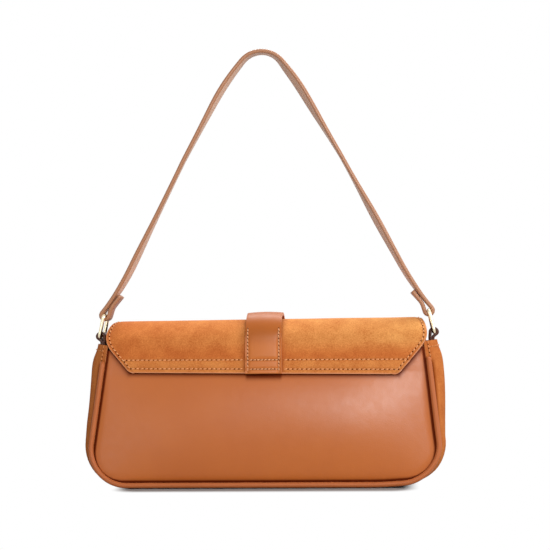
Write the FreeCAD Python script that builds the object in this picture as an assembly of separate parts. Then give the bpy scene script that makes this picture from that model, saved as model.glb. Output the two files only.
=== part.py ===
import FreeCAD, Part
import math
import os

# Small flap bag with a stiff upright handle, in millimetres.
# +X runs along the width, +Z is up, and the panel that the flap is sewn to (the rear) faces -Y.
# The origin is on the floor under the middle of the bag.

Vector = FreeCAD.Vector

# Body: two panels that lean towards each other, joined by a gusset at each end and a flat base
mouth_height = 102.5
base_rise = 4.5
base_half_depth = 30.0
mouth_half_depth = 18.0
panel_low_half_width = 129.9
panel_high_half_width = 119.0
panel_corner_radius = 28.0
panel_thickness = 1.8
rear_crown = 5.0
front_crown = 2.4
crown_margin = 0.5
piping_radius = 1.75
piping_drop = 8.3

# Layers behind each panel
layer_gap = 0.12
stiffener_thickness = 0.8
stiffener_margin = 9.0
lining_slack = 0.5
lining_thickness = 0.6
lining_margin = 1.6
slip_pocket_width = 120.0
slip_pocket_height = 62.0
slip_pocket_floor = 18.0
slip_pocket_thickness = 0.7

# Gussets and base
gusset_rise = 3.8
gusset_thickness = 1.4
gusset_seam_offset = 1.5
gusset_swell = 11.0
gusset_lining_gap = 0.4
base_thickness = 1.6
base_board_thickness = 1.5
base_board_margin = 3.0
base_end_swell = 0.5
base_end_lift = 0.3
gusset_base_run = 14.0

# Flap: sewn to the rear panel, over the top, and loose in front; its heights are set from the mouth
front_standoff = 3.0
flap_thickness = 1.6
flap_lining_thickness = 0.8
flap_lining_margin = 1.2
flap_side_inset = 0.7
flap_ridge_inset = 2.3
flap_widest_rise = 9.5
flap_chamfer_rise = 5.0
flap_chamfer_run = 18.6
flap_rear_drop = 18.4
flap_front_drop = 52.5
flap_front_chamfer = 24.0

# Tab: a leather strap sewn along the middle of the flap, arched where it crosses the fold
tab_width = 27.0
tab_thickness = 2.0
tab_arch_rise = 3.2

# Magnetic snap, hidden between the flap and the front panel
snap_edge_distance = 14.0
snap_socket_radius = 8.0
snap_socket_thickness = 1.9
snap_bore_radius = 3.4
snap_bore_depth = 1.6
snap_plate_radius = 7.0
snap_plate_thickness = 0.8
snap_stud_radius = 2.5
snap_stud_length = 1.4

# Rings and the leather loops that hold them in the gusset tops
ring_wire_radius = 1.4
ring_clearance = 0.2
ring_half_width = 8.1
ring_corner_radius = 2.4
ring_rise = 6.7
ring_inset = 1.83
ring_height = 16.2
anchor_width = 10.0
anchor_thickness = 1.4
anchor_depth = 13.8
anchor_neck_rise = 0.9
anchor_shoulder_drop = 2.4
anchor_bend_radius = 2.0
anchor_lining_gap = 2.0

# Handle: one flat strap, each end looped round a ring beside the flap and turned back on the inner side
handle_strap_width = 11.6
handle_strap_thickness = 3.0
handle_flap_clearance = 0.5
handle_peak_rise = 191.3
handle_peak_radius = 15.7
handle_foot_reach = 11.9
handle_foot_rise = 19.5
handle_bend_radius = 60.0
handle_tail_length = 19.0
handle_loop_length = 5.0
handle_tail_bend_radius = 5.0
handle_ply_gap = 0.3

# How each leg of the handle bows between its foot and the peak: share of the rise, share of the half span
handle_bow_shares = ((0.514, 0.534), (0.809, 0.242))

# How the gusset swells from its top edge to the base: up the side, round the corner, then under the base
gusset_side_height_shares = (1.0, 0.8, 0.6, 0.4, 0.2, 0.0)
gusset_side_swell_shares = (0.91, 0.98, 1.0, 0.99, 0.93, 0.82)
gusset_corner_turn_shares = (0.25, 0.5, 0.75, 1.0)
gusset_corner_swell_shares = (0.62, 0.38, 0.15, 0.0)
gusset_base_run_shares = (0.5, 1.0)

# Cuts run past what they cut by this much, and runs shorter than this are left out
overrun = 40.0
shortest_run = 1e-6

# Worked out from the sizes above
piping_top_height = mouth_height - piping_drop
gusset_top_height = mouth_height + gusset_rise
fold_axis_height = mouth_height
flap_widest_half_width = panel_high_half_width - flap_side_inset
flap_ridge_half_width = flap_widest_half_width - flap_ridge_inset
flap_edge_half_width = flap_widest_half_width - flap_chamfer_run
flap_widest_height = mouth_height + flap_widest_rise
flap_chamfer_height = mouth_height + flap_chamfer_rise
flap_rear_edge_height = mouth_height - flap_rear_drop
flap_front_edge_height = mouth_height - flap_front_drop
flap_front_chamfer_height = flap_front_edge_height + flap_front_chamfer
snap_height = flap_front_edge_height + snap_edge_distance
ring_bottom_height = gusset_top_height + ring_rise
ring_top_height = ring_bottom_height + ring_height
anchor_foot_height = gusset_top_height - anchor_depth
anchor_neck_height = gusset_top_height + anchor_neck_rise
anchor_shoulder_height = ring_bottom_height - anchor_shoulder_drop
gusset_lining_top_height = anchor_foot_height - anchor_lining_gap
panel_rise = mouth_height - base_rise
lean = math.atan2(base_half_depth - mouth_half_depth, panel_rise)
panel_height = panel_rise / math.cos(lean)
panel_slant = math.atan2(panel_low_half_width - panel_high_half_width, panel_height)
fold_axis_depth = front_standoff / 2
base_plane_distance = base_half_depth * math.cos(lean)
axis_plane_distance = base_plane_distance - (fold_axis_height - base_rise) * math.sin(lean)
fold_radius = axis_plane_distance + fold_axis_depth * math.cos(lean)
lining_level = layer_gap
flap_level = lining_level + flap_lining_thickness + layer_gap
tab_level = flap_level + flap_thickness + layer_gap
stiffener_level = -(panel_thickness + layer_gap)
panel_lining_level = stiffener_level - stiffener_thickness - lining_slack
pocket_level = panel_lining_level - lining_thickness - layer_gap
stack_depth = -panel_lining_level + lining_thickness + layer_gap
loop_radius = ring_wire_radius + ring_clearance + handle_strap_thickness / 2
anchor_loop_radius = ring_wire_radius + ring_clearance + anchor_thickness / 2
ring_top_half_span = flap_widest_half_width + handle_flap_clearance + loop_radius + handle_strap_thickness / 2


def plane_depth(height):
    """How far the outer plane of a panel stands from the middle of the bag, at a height above the floor."""
    return base_half_depth - (height - base_rise) * math.tan(lean)


def panel_v(height):
    """Place up the slope of a panel for a height above the floor."""
    return (height - base_rise) / math.cos(lean)


def panel_half_width(v):
    """Half width between the straight sides of a panel, at a place up its slope."""
    return panel_low_half_width - v * math.tan(panel_slant)


def rounded_path(points, radii):
    """Straight runs through the points, with a tangent arc at each point that has a radius.

    Gives a list of pieces: ("line", start, end) or ("arc", start, end, centre, radius, turn)."""
    pieces = []
    last = points[0]
    for index in range(1, len(points) - 1):
        before = (points[index] - points[index - 1]).normalize()
        after = (points[index + 1] - points[index]).normalize()
        turn = math.atan2(before.x * after.y - before.y * after.x, before.dot(after))
        radius = radii[index]
        reach = radius * abs(math.tan(turn / 2))
        start = points[index] - before * reach
        end = points[index] + after * reach
        side = math.copysign(1, turn)
        centre = start + Vector(-before.y, before.x, 0) * radius * side
        pieces.append(("line", last, start))
        if radius > 0:
            pieces.append(("arc", start, end, centre, radius, turn))
        last = end
    pieces.append(("line", last, points[-1]))
    return pieces


def path_edges(pieces, shift=0):
    """Edges of a rounded path, moved sideways to its left by the shift."""
    edges = []
    for piece in pieces:
        start = piece[1]
        end = piece[2]
        if piece[0] == "line":
            run = end - start
            if run.Length < shortest_run:
                continue
            left = Vector(-run.y, run.x, 0).normalize() * shift
            edges.append(Part.LineSegment(start + left, end + left).toShape())
            continue
        centre = piece[3]
        radius = piece[4]
        turn = piece[5]
        scale = (radius - math.copysign(shift, shift * turn)) / radius
        first = centre + (start - centre) * scale
        last = centre + (end - centre) * scale
        middle_angle = math.atan2(start.y - centre.y, start.x - centre.x) + turn / 2
        middle = centre + Vector(math.cos(middle_angle), math.sin(middle_angle), 0) * radius * scale
        edges.append(Part.Arc(first, middle, last).toShape())
    return edges


def ribbon_face(points, radii, thickness):
    """Flat face of a band of even thickness along a rounded path."""
    pieces = rounded_path(points, radii)
    left = path_edges(pieces, thickness / 2)
    right = path_edges(pieces, -thickness / 2)
    caps = [
        Part.LineSegment(left[0].firstVertex(True).Point, right[0].firstVertex(True).Point).toShape(),
        Part.LineSegment(left[-1].lastVertex(True).Point, right[-1].lastVertex(True).Point).toShape(),
    ]
    wire = Part.Wire(Part.__sortEdges__(left + right + caps))
    return Part.Face(wire)


def across_depth(face, width):
    """Solid from a face drawn in width and height, taken through the depth about the middle of the bag."""
    solid = face.extrude(Vector(0, 0, width))
    solid.translate(Vector(0, 0, -width / 2))
    solid.rotate(Vector(), Vector(1, 0, 0), 90)
    return solid


def along_width(face, width):
    """Solid from a face drawn in depth and height, taken along the width about the middle of the bag."""
    solid = face.extrude(Vector(0, 0, width))
    solid.translate(Vector(0, 0, -width / 2))
    solid.rotate(Vector(), Vector(1, 1, 1), 120)
    return solid


def mirrored_across(shape):
    """The same piece at the other end of the bag."""
    return shape.mirror(Vector(), Vector(1, 0, 0))


def mirrored_through(shape):
    """The same piece on the other side of the bag, front for rear."""
    return shape.mirror(Vector(), Vector(0, 1, 0))


def on_rear(shape):
    """A piece drawn flat in a panel's own plane, stood up where the rear panel leans."""
    stood = shape.copy()
    stood.rotate(Vector(), Vector(1, 0, 0), 90 - math.degrees(lean))
    stood.translate(Vector(0, -base_half_depth, base_rise))
    return stood


def on_front(shape):
    """A piece drawn flat in a panel's own plane, stood up where the front panel leans."""
    return mirrored_through(on_rear(shape))


def panel_outline_points(inset, top):
    """Corners of a panel, drawn in from its edge by the inset, from top right round to top left."""
    drawn_in = inset / math.cos(panel_slant)
    low = panel_half_width(inset) - drawn_in
    high = panel_half_width(top) - drawn_in
    return [Vector(high, top, 0), Vector(low, inset, 0), Vector(-low, inset, 0), Vector(-high, top, 0)]


def panel_prism(inset, top):
    """Block with a panel's outline, cut across at the top."""
    radius = panel_corner_radius - inset
    points = panel_outline_points(inset, top)
    edges = path_edges(rounded_path(points, [0, radius, radius, 0]))
    edges.append(Part.LineSegment(points[-1], points[0]).toShape())
    prism = Part.Face(Part.Wire(Part.__sortEdges__(edges))).extrude(Vector(0, 0, 2 * overrun))
    prism.translate(Vector(0, 0, -overrun))
    return prism


def crowned_block(level, crown, crown_top):
    """Thick block whose upper face lies at a level and swells into a crown below the flap."""
    low = panel_half_width(crown_margin) - crown_margin
    high = panel_half_width(crown_top) - crown_margin
    middle_v = (crown_margin + crown_top) / 2
    rows = ((crown_margin, low), (middle_v, (low + high) / 2), (crown_top, high))
    poles = [[Vector(share * half, v, level) for share in (-1, 0, 1)] for v, half in rows]
    poles[1][1] = poles[1][1] + Vector(0, 0, crown) * 4
    surface = Part.BezierSurface()
    surface.increase(2, 2)
    for row in range(len(poles)):
        for column in range(len(poles[row])):
            surface.setPole(row + 1, column + 1, poles[row][column])
    dome = surface.toShape().extrude(Vector(0, 0, -overrun / 2))
    block = Part.makeBox(
        2 * (low + overrun),
        panel_height + 2 * overrun,
        overrun,
        Vector(-low - overrun, -overrun, level - overrun),
    )
    return block.fuse(dome)


def crowned_sheet(prism, level, thickness, crown, crown_top):
    """Sheet of even thickness that follows a panel's crown, cut to the outline of the prism."""
    outer = crowned_block(level, crown, crown_top)
    inner = crowned_block(level - thickness, crown, crown_top)
    return outer.cut(inner).common(prism).removeSplitter()


def panel_layers(crown, crown_top):
    """One side's panel, stiffener and lining, flat in the panel's own plane."""
    stiffener_top = panel_height - stiffener_margin
    lining_top = panel_height - lining_margin
    return {
        "panel": crowned_sheet(panel_prism(0, panel_height), 0, panel_thickness, crown, crown_top),
        "stiffener": crowned_sheet(
            panel_prism(stiffener_margin, stiffener_top), stiffener_level, stiffener_thickness, crown, crown_top
        ),
        "lining": crowned_sheet(
            panel_prism(lining_margin, lining_top), panel_lining_level, lining_thickness, crown, crown_top
        ),
    }


def slip_pocket(crown, crown_top):
    """Flat pocket sewn on the lining of the rear panel."""
    prism = Part.makeBox(
        slip_pocket_width,
        slip_pocket_height,
        2 * overrun,
        Vector(-slip_pocket_width / 2, slip_pocket_floor, -overrun),
    )
    return crowned_sheet(prism, pocket_level, slip_pocket_thickness, crown, crown_top)


def piping():
    """Round welt that follows a panel's edge down one side, along the bottom and up the other."""
    outset = -(piping_radius + layer_gap)
    radius = panel_corner_radius - outset
    points = panel_outline_points(outset, panel_v(piping_top_height))
    path = Part.Wire(path_edges(rounded_path(points, [0, radius, radius, 0])))
    heading = points[1] - points[0]
    profile = Part.Wire(Part.makeCircle(piping_radius, points[0], heading))
    return path.makePipeShell([profile], True, True)


def side_station(height):
    """A point on a panel's straight side, with the outward direction there."""
    outward = Vector(math.cos(panel_slant), 0, math.sin(panel_slant))
    return Vector(panel_half_width(panel_v(height)), 0, height), outward


def corner_station(turn_share, run=0):
    """A point round a panel's lower corner, or a run past it along the base, with the outward direction there."""
    centre_x = panel_half_width(panel_corner_radius) - panel_corner_radius / math.cos(panel_slant)
    centre = Vector(centre_x - run, 0, base_rise + panel_corner_radius)
    angle = panel_slant - turn_share * (panel_slant + math.pi / 2)
    outward = Vector(math.cos(angle), 0, math.sin(angle))
    return centre + outward * panel_corner_radius, outward


def swelling_arc(point, outward, half_depth, swell, offset):
    """Curve across the depth of the bag that swells outwards in the middle."""
    edge = point + outward * offset
    across = Vector(0, half_depth, 0)
    return Part.Wire(Part.Arc(edge - across, edge + outward * swell, edge + across).toShape())


def wall_between(outer_arcs, inner_arcs):
    """Solid wall between two skins that each run smoothly through a list of curves."""
    skins = [Part.makeLoft(arcs, False, False).Faces[0] for arcs in (outer_arcs, inner_arcs)]
    faces = list(skins)
    for edge in skins[0].Edges:
        facing = min(skins[1].Edges, key=lambda other: edge.CenterOfMass.distanceToPoint(other.CenterOfMass))
        faces.append(Part.makeRuledSurface(edge, facing))
    shell = Part.makeShell(faces)
    shell.sewShape()
    wall = Part.makeSolid(shell)
    if wall.Volume < 0:
        wall.reverse()
    return wall


def gusset_shell(top_height, inset, edge_clearance, thickness):
    """End wall of the bag on the +X side, from its top edge down and round the corner to the base.

    A layer inside it is drawn in by the inset and trimmed at its own top height."""
    floor_offset = base_rise - base_end_swell - base_end_lift
    corner_start = base_rise + panel_corner_radius
    stations = []
    for height_share, swell_share in zip(gusset_side_height_shares, gusset_side_swell_shares):
        height = corner_start + (gusset_top_height - corner_start) * height_share
        stations.append((side_station(height), gusset_swell * swell_share, gusset_seam_offset))
    for turn_share, swell_share in zip(gusset_corner_turn_shares, gusset_corner_swell_shares):
        swell = base_end_swell + (gusset_swell - base_end_swell) * swell_share
        offset = gusset_seam_offset + (floor_offset - gusset_seam_offset) * turn_share
        stations.append((corner_station(turn_share), swell, offset))
    for run_share in gusset_base_run_shares:
        run = gusset_base_run * run_share
        stations.append((corner_station(1, run), base_end_swell, floor_offset))
    outer_arcs = []
    inner_arcs = []
    for (point, outward), swell, offset in stations:
        half_depth = plane_depth(point.z) - edge_clearance
        outer_arcs.append(swelling_arc(point, outward, half_depth, swell, offset - inset))
        inner_arcs.append(swelling_arc(point, outward, half_depth, swell, offset - inset - thickness))
    wall = wall_between(outer_arcs, inner_arcs)
    if top_height == gusset_top_height:
        return wall
    reach = panel_low_half_width + overrun
    below = Part.makeBox(reach, 2 * reach, top_height + overrun, Vector(0, -reach, -overrun))
    return wall.common(below)


def base_half_length():
    """Where the flat base ends and the gusset begins."""
    point, outward = corner_station(1, gusset_base_run)
    return point.x - layer_gap


def base_sheet(lift, thickness, half_depth, margin):
    """Flat layer of the base."""
    half_length = base_half_length() - margin
    return Part.makeBox(2 * half_length, 2 * half_depth, thickness, Vector(-half_length, -half_depth, lift))


def base_seam_half_depth():
    """Half depth of the base panel, which reaches to the piping on both sides."""
    drop = piping_radius + layer_gap
    piping_height = base_rise - drop * math.cos(lean)
    piping_depth = base_half_depth + drop * math.sin(lean)
    reach = math.sqrt(drop * drop - (piping_height - base_thickness) ** 2)
    return piping_depth - reach


def fold_point(radius, rise, angle):
    """Point in depth and height at a radius and angle about the fold's axis, lifted by the rise."""
    centre = Vector(fold_axis_depth, fold_axis_height + rise, 0)
    return centre + Vector(math.cos(angle), math.sin(angle), 0) * radius


def fold_arch(level, thickness, rise, width):
    """The part of a layer that bends over the top of the bag, between the rear and front slopes."""
    inner = fold_radius - rise * math.sin(lean) + level
    outer = inner + thickness
    angles = (math.pi - lean, math.pi / 2, lean)
    outer_points = [fold_point(outer, rise, angle) for angle in angles]
    inner_points = [fold_point(inner, rise, angle) for angle in angles]
    edges = [
        Part.Arc(*outer_points).toShape(),
        Part.LineSegment(outer_points[2], inner_points[2]).toShape(),
        Part.Arc(*reversed(inner_points)).toShape(),
        Part.LineSegment(inner_points[0], outer_points[0]).toShape(),
    ]
    return along_width(Part.Face(Part.Wire(edges)), width)


def fold_slope(level, thickness, rise, width, low_height, side):
    """The straight part of a layer below the fold; side is -1 at the rear and 1 in front."""
    inner = fold_radius - rise * math.sin(lean) + level
    angle = math.pi / 2 - side * (math.pi / 2 - lean)
    top = fold_point(inner, rise, angle)
    out = Vector(math.cos(angle), math.sin(angle), 0) * thickness
    down = Vector(side * math.sin(lean), -math.cos(lean), 0) * ((top.y - low_height) / math.cos(lean))
    corners = [top, top + out, top + out + down, top + down, top]
    return along_width(Part.Face(Part.makePolygon(corners)), width)


def flap_prism(low_height, chamfer_height, margin):
    """Block with the flap's outline in width and height, drawn in from its edge by the margin."""
    ridge = flap_ridge_half_width - margin
    widest = flap_widest_half_width - margin
    edge = flap_edge_half_width - margin
    top = fold_axis_height + fold_radius + tab_level
    bottom = low_height + margin
    half = [
        Vector(edge, bottom, 0),
        Vector(widest, chamfer_height, 0),
        Vector(widest, flap_widest_height, 0),
        Vector(ridge, top, 0),
    ]
    outline = half + [Vector(-point.x, point.y, 0) for point in reversed(half)]
    return across_depth(Part.Face(Part.makePolygon(outline + outline[:1])), 4 * overrun)


def flap_layer(level, thickness, margin):
    """Rear, fold and front pieces of one layer of the flap."""
    span = 2 * (flap_widest_half_width + overrun)
    rear_prism = flap_prism(flap_rear_edge_height, flap_chamfer_height, margin)
    front_prism = flap_prism(flap_front_edge_height, flap_front_chamfer_height, margin)
    rear = fold_slope(level, thickness, 0, span, flap_rear_edge_height, -1).common(rear_prism)
    fold = fold_arch(level, thickness, 0, span).common(rear_prism)
    front = fold_slope(level, thickness, 0, span, flap_front_edge_height, 1).common(front_prism)
    return rear, fold, front


def tab_pieces():
    """Rear, arched and front pieces of the tab."""
    rear = fold_slope(tab_level, tab_thickness, tab_arch_rise, tab_width, flap_rear_edge_height, -1)
    arch = fold_arch(tab_level, tab_thickness, tab_arch_rise, tab_width)
    front = fold_slope(tab_level, tab_thickness, tab_arch_rise, tab_width, flap_front_edge_height, 1)
    return rear, arch, front


def snap_pieces():
    """Socket on the front panel and stud under the flap, in the front panel's own plane."""
    place = Vector(0, panel_v(snap_height), layer_gap)
    socket = Part.makeCylinder(snap_socket_radius, snap_socket_thickness, place)
    bore_floor = place + Vector(0, 0, snap_socket_thickness - snap_bore_depth)
    socket = socket.cut(Part.makeCylinder(snap_bore_radius, snap_socket_thickness, bore_floor))
    plate_top = place + Vector(0, 0, front_standoff - layer_gap)
    plate_low = plate_top - Vector(0, 0, snap_plate_thickness)
    stud_low = plate_low - Vector(0, 0, snap_stud_length)
    stud = Part.makeCylinder(snap_plate_radius, snap_plate_thickness, plate_low)
    stud = stud.fuse(Part.makeCylinder(snap_stud_radius, snap_stud_length, stud_low)).removeSplitter()
    return socket, stud


def ring_bottom_half_span():
    """Where the ring's lower bar hangs, just inside the swollen middle of the gusset's top edge."""
    seam = panel_half_width(panel_v(gusset_top_height)) + gusset_seam_offset
    return seam + gusset_swell * gusset_side_swell_shares[0] - gusset_thickness - ring_inset


def handle_strap():
    """The handle: one strap with a teardrop loop and a turned-back tail at each end."""
    bar = Vector(ring_top_half_span, ring_top_height, 0)
    foot = bar + Vector(-handle_foot_reach, handle_foot_rise, 0)
    bows = [Vector(foot.x * span, foot.y + handle_peak_rise * rise, 0) for rise, span in handle_bow_shares]
    run = foot - bar
    spread = math.asin(loop_radius / run.Length)
    angle = math.atan2(run.y, run.x) + spread
    up = Vector(math.cos(angle), math.sin(angle), 0)
    out = Vector(up.y, -up.x, 0)
    ply_shift = loop_radius - handle_strap_thickness - handle_ply_gap
    tail_end = bar + out * ply_shift + up * handle_tail_length
    tail_bend = bar + out * ply_shift + up * (handle_loop_length + 2 * loop_radius)
    loop_bend = bar - out * loop_radius + up * handle_loop_length
    inner_corner = bar - out * loop_radius - up * loop_radius
    outer_corner = bar + out * loop_radius - up * loop_radius
    right = [
        (tail_end, 0),
        (tail_bend, handle_tail_bend_radius),
        (loop_bend, handle_tail_bend_radius),
        (inner_corner, loop_radius),
        (outer_corner, loop_radius),
        (foot, handle_bend_radius),
    ]
    right += [(bow, handle_bend_radius) for bow in bows]
    peak = [(Vector(0, foot.y + handle_peak_rise, 0), handle_peak_radius)]
    left = [(Vector(-point.x, point.y, 0), radius) for point, radius in reversed(right)]
    stops = right + peak + left
    face = ribbon_face([stop[0] for stop in stops], [stop[1] for stop in stops], handle_strap_thickness)
    return across_depth(face, handle_strap_width)


def ring():
    """Rounded rectangular wire ring on the +X side, its bars along the depth of the bag."""
    top = Vector(ring_top_half_span, 0, ring_top_height)
    bottom = Vector(ring_bottom_half_span(), 0, ring_bottom_height)
    length = (top - bottom).Length
    corners = [
        Vector(0, 0, 0),
        Vector(ring_half_width, 0, 0),
        Vector(ring_half_width, length, 0),
        Vector(-ring_half_width, length, 0),
        Vector(-ring_half_width, 0, 0),
        Vector(0, 0, 0),
    ]
    bend = ring_corner_radius
    path = Part.Wire(path_edges(rounded_path(corners, [0, bend, bend, bend, bend, 0])))
    profile = Part.Wire(Part.makeCircle(ring_wire_radius, corners[0], Vector(1, 0, 0)))
    wire = path.makePipeShell([profile], True, True)
    wire.rotate(Vector(), Vector(1, 1, 1), 120)
    tilt = math.atan2(top.x - bottom.x, top.z - bottom.z)
    wire.rotate(Vector(), Vector(0, 1, 0), math.degrees(tilt))
    wire.translate(bottom)
    return wire


def ring_anchor():
    """Leather loop on the +X side, round the ring's lower bar and down inside the gusset's top."""
    bar = Vector(ring_bottom_half_span(), ring_bottom_height, 0)
    ply = anchor_thickness + layer_gap
    outer_x = bar.x - anchor_loop_radius / 4
    inner_x = outer_x - ply
    top = bar.y + anchor_loop_radius
    stops = [
        (Vector(outer_x, anchor_foot_height, 0), 0),
        (Vector(outer_x, anchor_neck_height, 0), anchor_bend_radius),
        (Vector(bar.x + anchor_loop_radius, anchor_shoulder_height, 0), anchor_bend_radius),
        (Vector(bar.x + anchor_loop_radius, top, 0), anchor_loop_radius),
        (Vector(bar.x - anchor_loop_radius, top, 0), anchor_loop_radius),
        (Vector(bar.x - anchor_loop_radius, anchor_shoulder_height, 0), anchor_bend_radius),
        (Vector(inner_x, anchor_neck_height, 0), anchor_bend_radius),
        (Vector(inner_x, anchor_foot_height, 0), 0),
    ]
    face = ribbon_face([stop[0] for stop in stops], [stop[1] for stop in stops], anchor_thickness)
    return across_depth(face, anchor_width)


def build():
    """Every piece of the bag, by name."""
    pieces = {}
    rear_crown_top = panel_v(flap_rear_edge_height)
    front_crown_top = panel_v(flap_front_edge_height)
    for name, shape in panel_layers(rear_crown, rear_crown_top).items():
        pieces["rear_" + name] = on_rear(shape)
    for name, shape in panel_layers(front_crown, front_crown_top).items():
        pieces["front_" + name] = on_front(shape)
    pieces["slip_pocket"] = on_rear(slip_pocket(rear_crown, rear_crown_top))
    pieces["rear_piping"] = on_rear(piping())
    pieces["front_piping"] = on_front(piping())

    seam_clearance = piping_radius + layer_gap
    end_pieces = {
        "gusset": gusset_shell(gusset_top_height, 0, seam_clearance, gusset_thickness),
        "gusset_lining": gusset_shell(
            gusset_lining_top_height, gusset_thickness + gusset_lining_gap, stack_depth, lining_thickness
        ),
        "ring_anchor": ring_anchor(),
        "ring": ring(),
    }
    for name, shape in end_pieces.items():
        pieces["right_" + name] = shape
        pieces["left_" + name] = mirrored_across(shape)

    board_lift = base_thickness + layer_gap
    board_half_depth = base_half_depth - base_board_margin
    lining_lift = board_lift + base_board_thickness + layer_gap
    lining_half_depth = plane_depth(lining_lift) - stack_depth - layer_gap
    pieces["base_panel"] = base_sheet(0, base_thickness, base_seam_half_depth(), 0)
    pieces["base_board"] = base_sheet(board_lift, base_board_thickness, board_half_depth, base_board_margin)
    pieces["base_lining"] = base_sheet(lining_lift, lining_thickness, lining_half_depth, base_board_margin)

    for name, level, thickness, margin in (
        ("flap", flap_level, flap_thickness, 0),
        ("flap_lining", lining_level, flap_lining_thickness, flap_lining_margin),
    ):
        rear, fold, front = flap_layer(level, thickness, margin)
        pieces[name + "_rear"] = rear
        pieces[name + "_fold"] = fold
        pieces[name + "_front"] = front
    pieces["tab_rear"], pieces["tab_fold"], pieces["tab_front"] = tab_pieces()

    socket, stud = snap_pieces()
    pieces["snap_socket"] = on_front(socket)
    pieces["snap_stud"] = on_front(stud)
    pieces["handle_strap"] = handle_strap()
    return pieces


os.makedirs("parts", exist_ok=True)
for node, shape in build().items():
    solids = shape.Solids
    box = shape.optimalBoundingBox(False)
    print(
        f"{node}: valid {shape.isValid()}, solids {len(solids)}, volume {shape.Volume:.1f},"
        f" x {box.XMin:.2f} {box.XMax:.2f}, y {box.YMin:.2f} {box.YMax:.2f}, z {box.ZMin:.2f} {box.ZMax:.2f}"
    )
    solids[0].exportStep(f"parts/{node}.step")
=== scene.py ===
"""Small flap bag: leather, suede, thread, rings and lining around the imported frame, under soft studio light."""
import logging
import math
from dataclasses import dataclass
from enum import Enum
from typing import Callable, Optional, Sequence, Union

import bpy
from mathutils import Matrix, Vector, noise


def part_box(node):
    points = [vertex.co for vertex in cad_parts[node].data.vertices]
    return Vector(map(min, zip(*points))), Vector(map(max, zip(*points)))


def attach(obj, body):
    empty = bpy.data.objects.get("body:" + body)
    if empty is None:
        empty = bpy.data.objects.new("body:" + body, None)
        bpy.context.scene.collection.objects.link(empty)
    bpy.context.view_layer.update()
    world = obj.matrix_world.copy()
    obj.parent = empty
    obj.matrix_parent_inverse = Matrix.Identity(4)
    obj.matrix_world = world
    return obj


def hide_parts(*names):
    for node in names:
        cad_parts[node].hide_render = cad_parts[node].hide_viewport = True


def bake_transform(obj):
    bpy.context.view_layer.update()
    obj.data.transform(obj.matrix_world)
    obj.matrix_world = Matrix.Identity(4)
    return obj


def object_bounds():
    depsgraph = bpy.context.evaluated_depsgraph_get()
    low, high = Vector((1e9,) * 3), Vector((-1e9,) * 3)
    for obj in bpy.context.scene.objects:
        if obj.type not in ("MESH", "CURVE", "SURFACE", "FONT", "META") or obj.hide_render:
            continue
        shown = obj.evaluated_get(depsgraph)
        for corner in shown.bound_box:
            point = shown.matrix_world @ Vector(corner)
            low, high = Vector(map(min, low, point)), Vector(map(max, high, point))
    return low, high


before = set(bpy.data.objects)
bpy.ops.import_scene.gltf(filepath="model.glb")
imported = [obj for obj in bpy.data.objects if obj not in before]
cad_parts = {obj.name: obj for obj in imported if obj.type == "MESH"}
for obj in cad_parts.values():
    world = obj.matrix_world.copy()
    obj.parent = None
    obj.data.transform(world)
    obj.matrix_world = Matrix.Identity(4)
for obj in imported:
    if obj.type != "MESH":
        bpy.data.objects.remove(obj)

CAD_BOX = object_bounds()
MM = 0.001
SHORTEST_BEND = 1e-6
BEND_STEPS = 14
LAST_STEP_SLACK = 1e-9
EDGE_SEGMENTS = 2
EDGE_ANGLE = math.radians(50)
RING_WIRE_RADIUS = 1.4
RING_CLEARANCE = 0.2
log = logging.getLogger("flap_bag")

Grid = list[list[Vector]]
Colour = tuple[float, float, float, float]
Faces = list[tuple[int, ...]]
Line = Sequence[Vector]
Node = bpy.types.Node
Outputs = bpy.types.bpy_prop_collection
Pair = tuple[float, float]
Piece = bpy.types.Object
Ray = tuple[Vector, Vector]
Station = tuple[Vector, Vector, float, float]
Stitch = tuple[Vector, Vector, Vector]
Tree = bpy.types.NodeTree
Values = dict[Union[str, int], object]


class Side(Enum):
    """The two broad sides of the bag, as signs along the depth."""

    REAR = -1
    FRONT = 1


class End(Enum):
    """The two ends of the bag, as signs along the width."""

    LEFT = -1
    RIGHT = 1


def linear(hex_colour: str) -> Colour:
    """Turn an sRGB hex colour into linear RGBA.

    Args:
        hex_colour: A colour such as "#c27142".

    Returns:
        The linear red, green, blue and alpha.
    """
    channels = [int(hex_colour[place:place + 2], 16) / 255 for place in (1, 3, 5)]
    red, green, blue = (c / 12.92 if c <= 0.04045 else ((c + 0.055) / 1.055) ** 2.4 for c in channels)
    return red, green, blue, 1.0


def per_mm(size: float) -> float:
    """Texture scale, on coordinates in metres, for a pattern that repeats every so many millimetres."""
    return 1 / (size * MM)


def feed(node: Node, values: Values) -> None:
    """Give a node its settings and links.

    Args:
        node: The node.
        values: Values or other nodes' outputs, by property name, or by input name or number.
    """
    for name, value in values.items():
        if isinstance(value, bpy.types.NodeSocket):
            node.id_data.links.new(value, node.inputs[name])
        elif isinstance(name, str) and hasattr(node, name):
            setattr(node, name, value)
        else:
            node.inputs[name].default_value = value


def add_node(tree: Tree, kind: str, values: Optional[Values] = None) -> Outputs:
    """Add a node with its settings and links.

    Args:
        tree: The node tree to add to.
        kind: The node's type, without the ShaderNode that each starts with.
        values: Its settings and links, as feed takes them.

    Returns:
        The new node's outputs.
    """
    node = tree.nodes.new("ShaderNode" + kind)
    feed(node, values or {})
    return node.outputs


def first_node(tree: Tree, kind: str) -> Node:
    """The node of a kind that a tree starts with."""
    return next(node for node in tree.nodes if node.type == kind)


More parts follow.
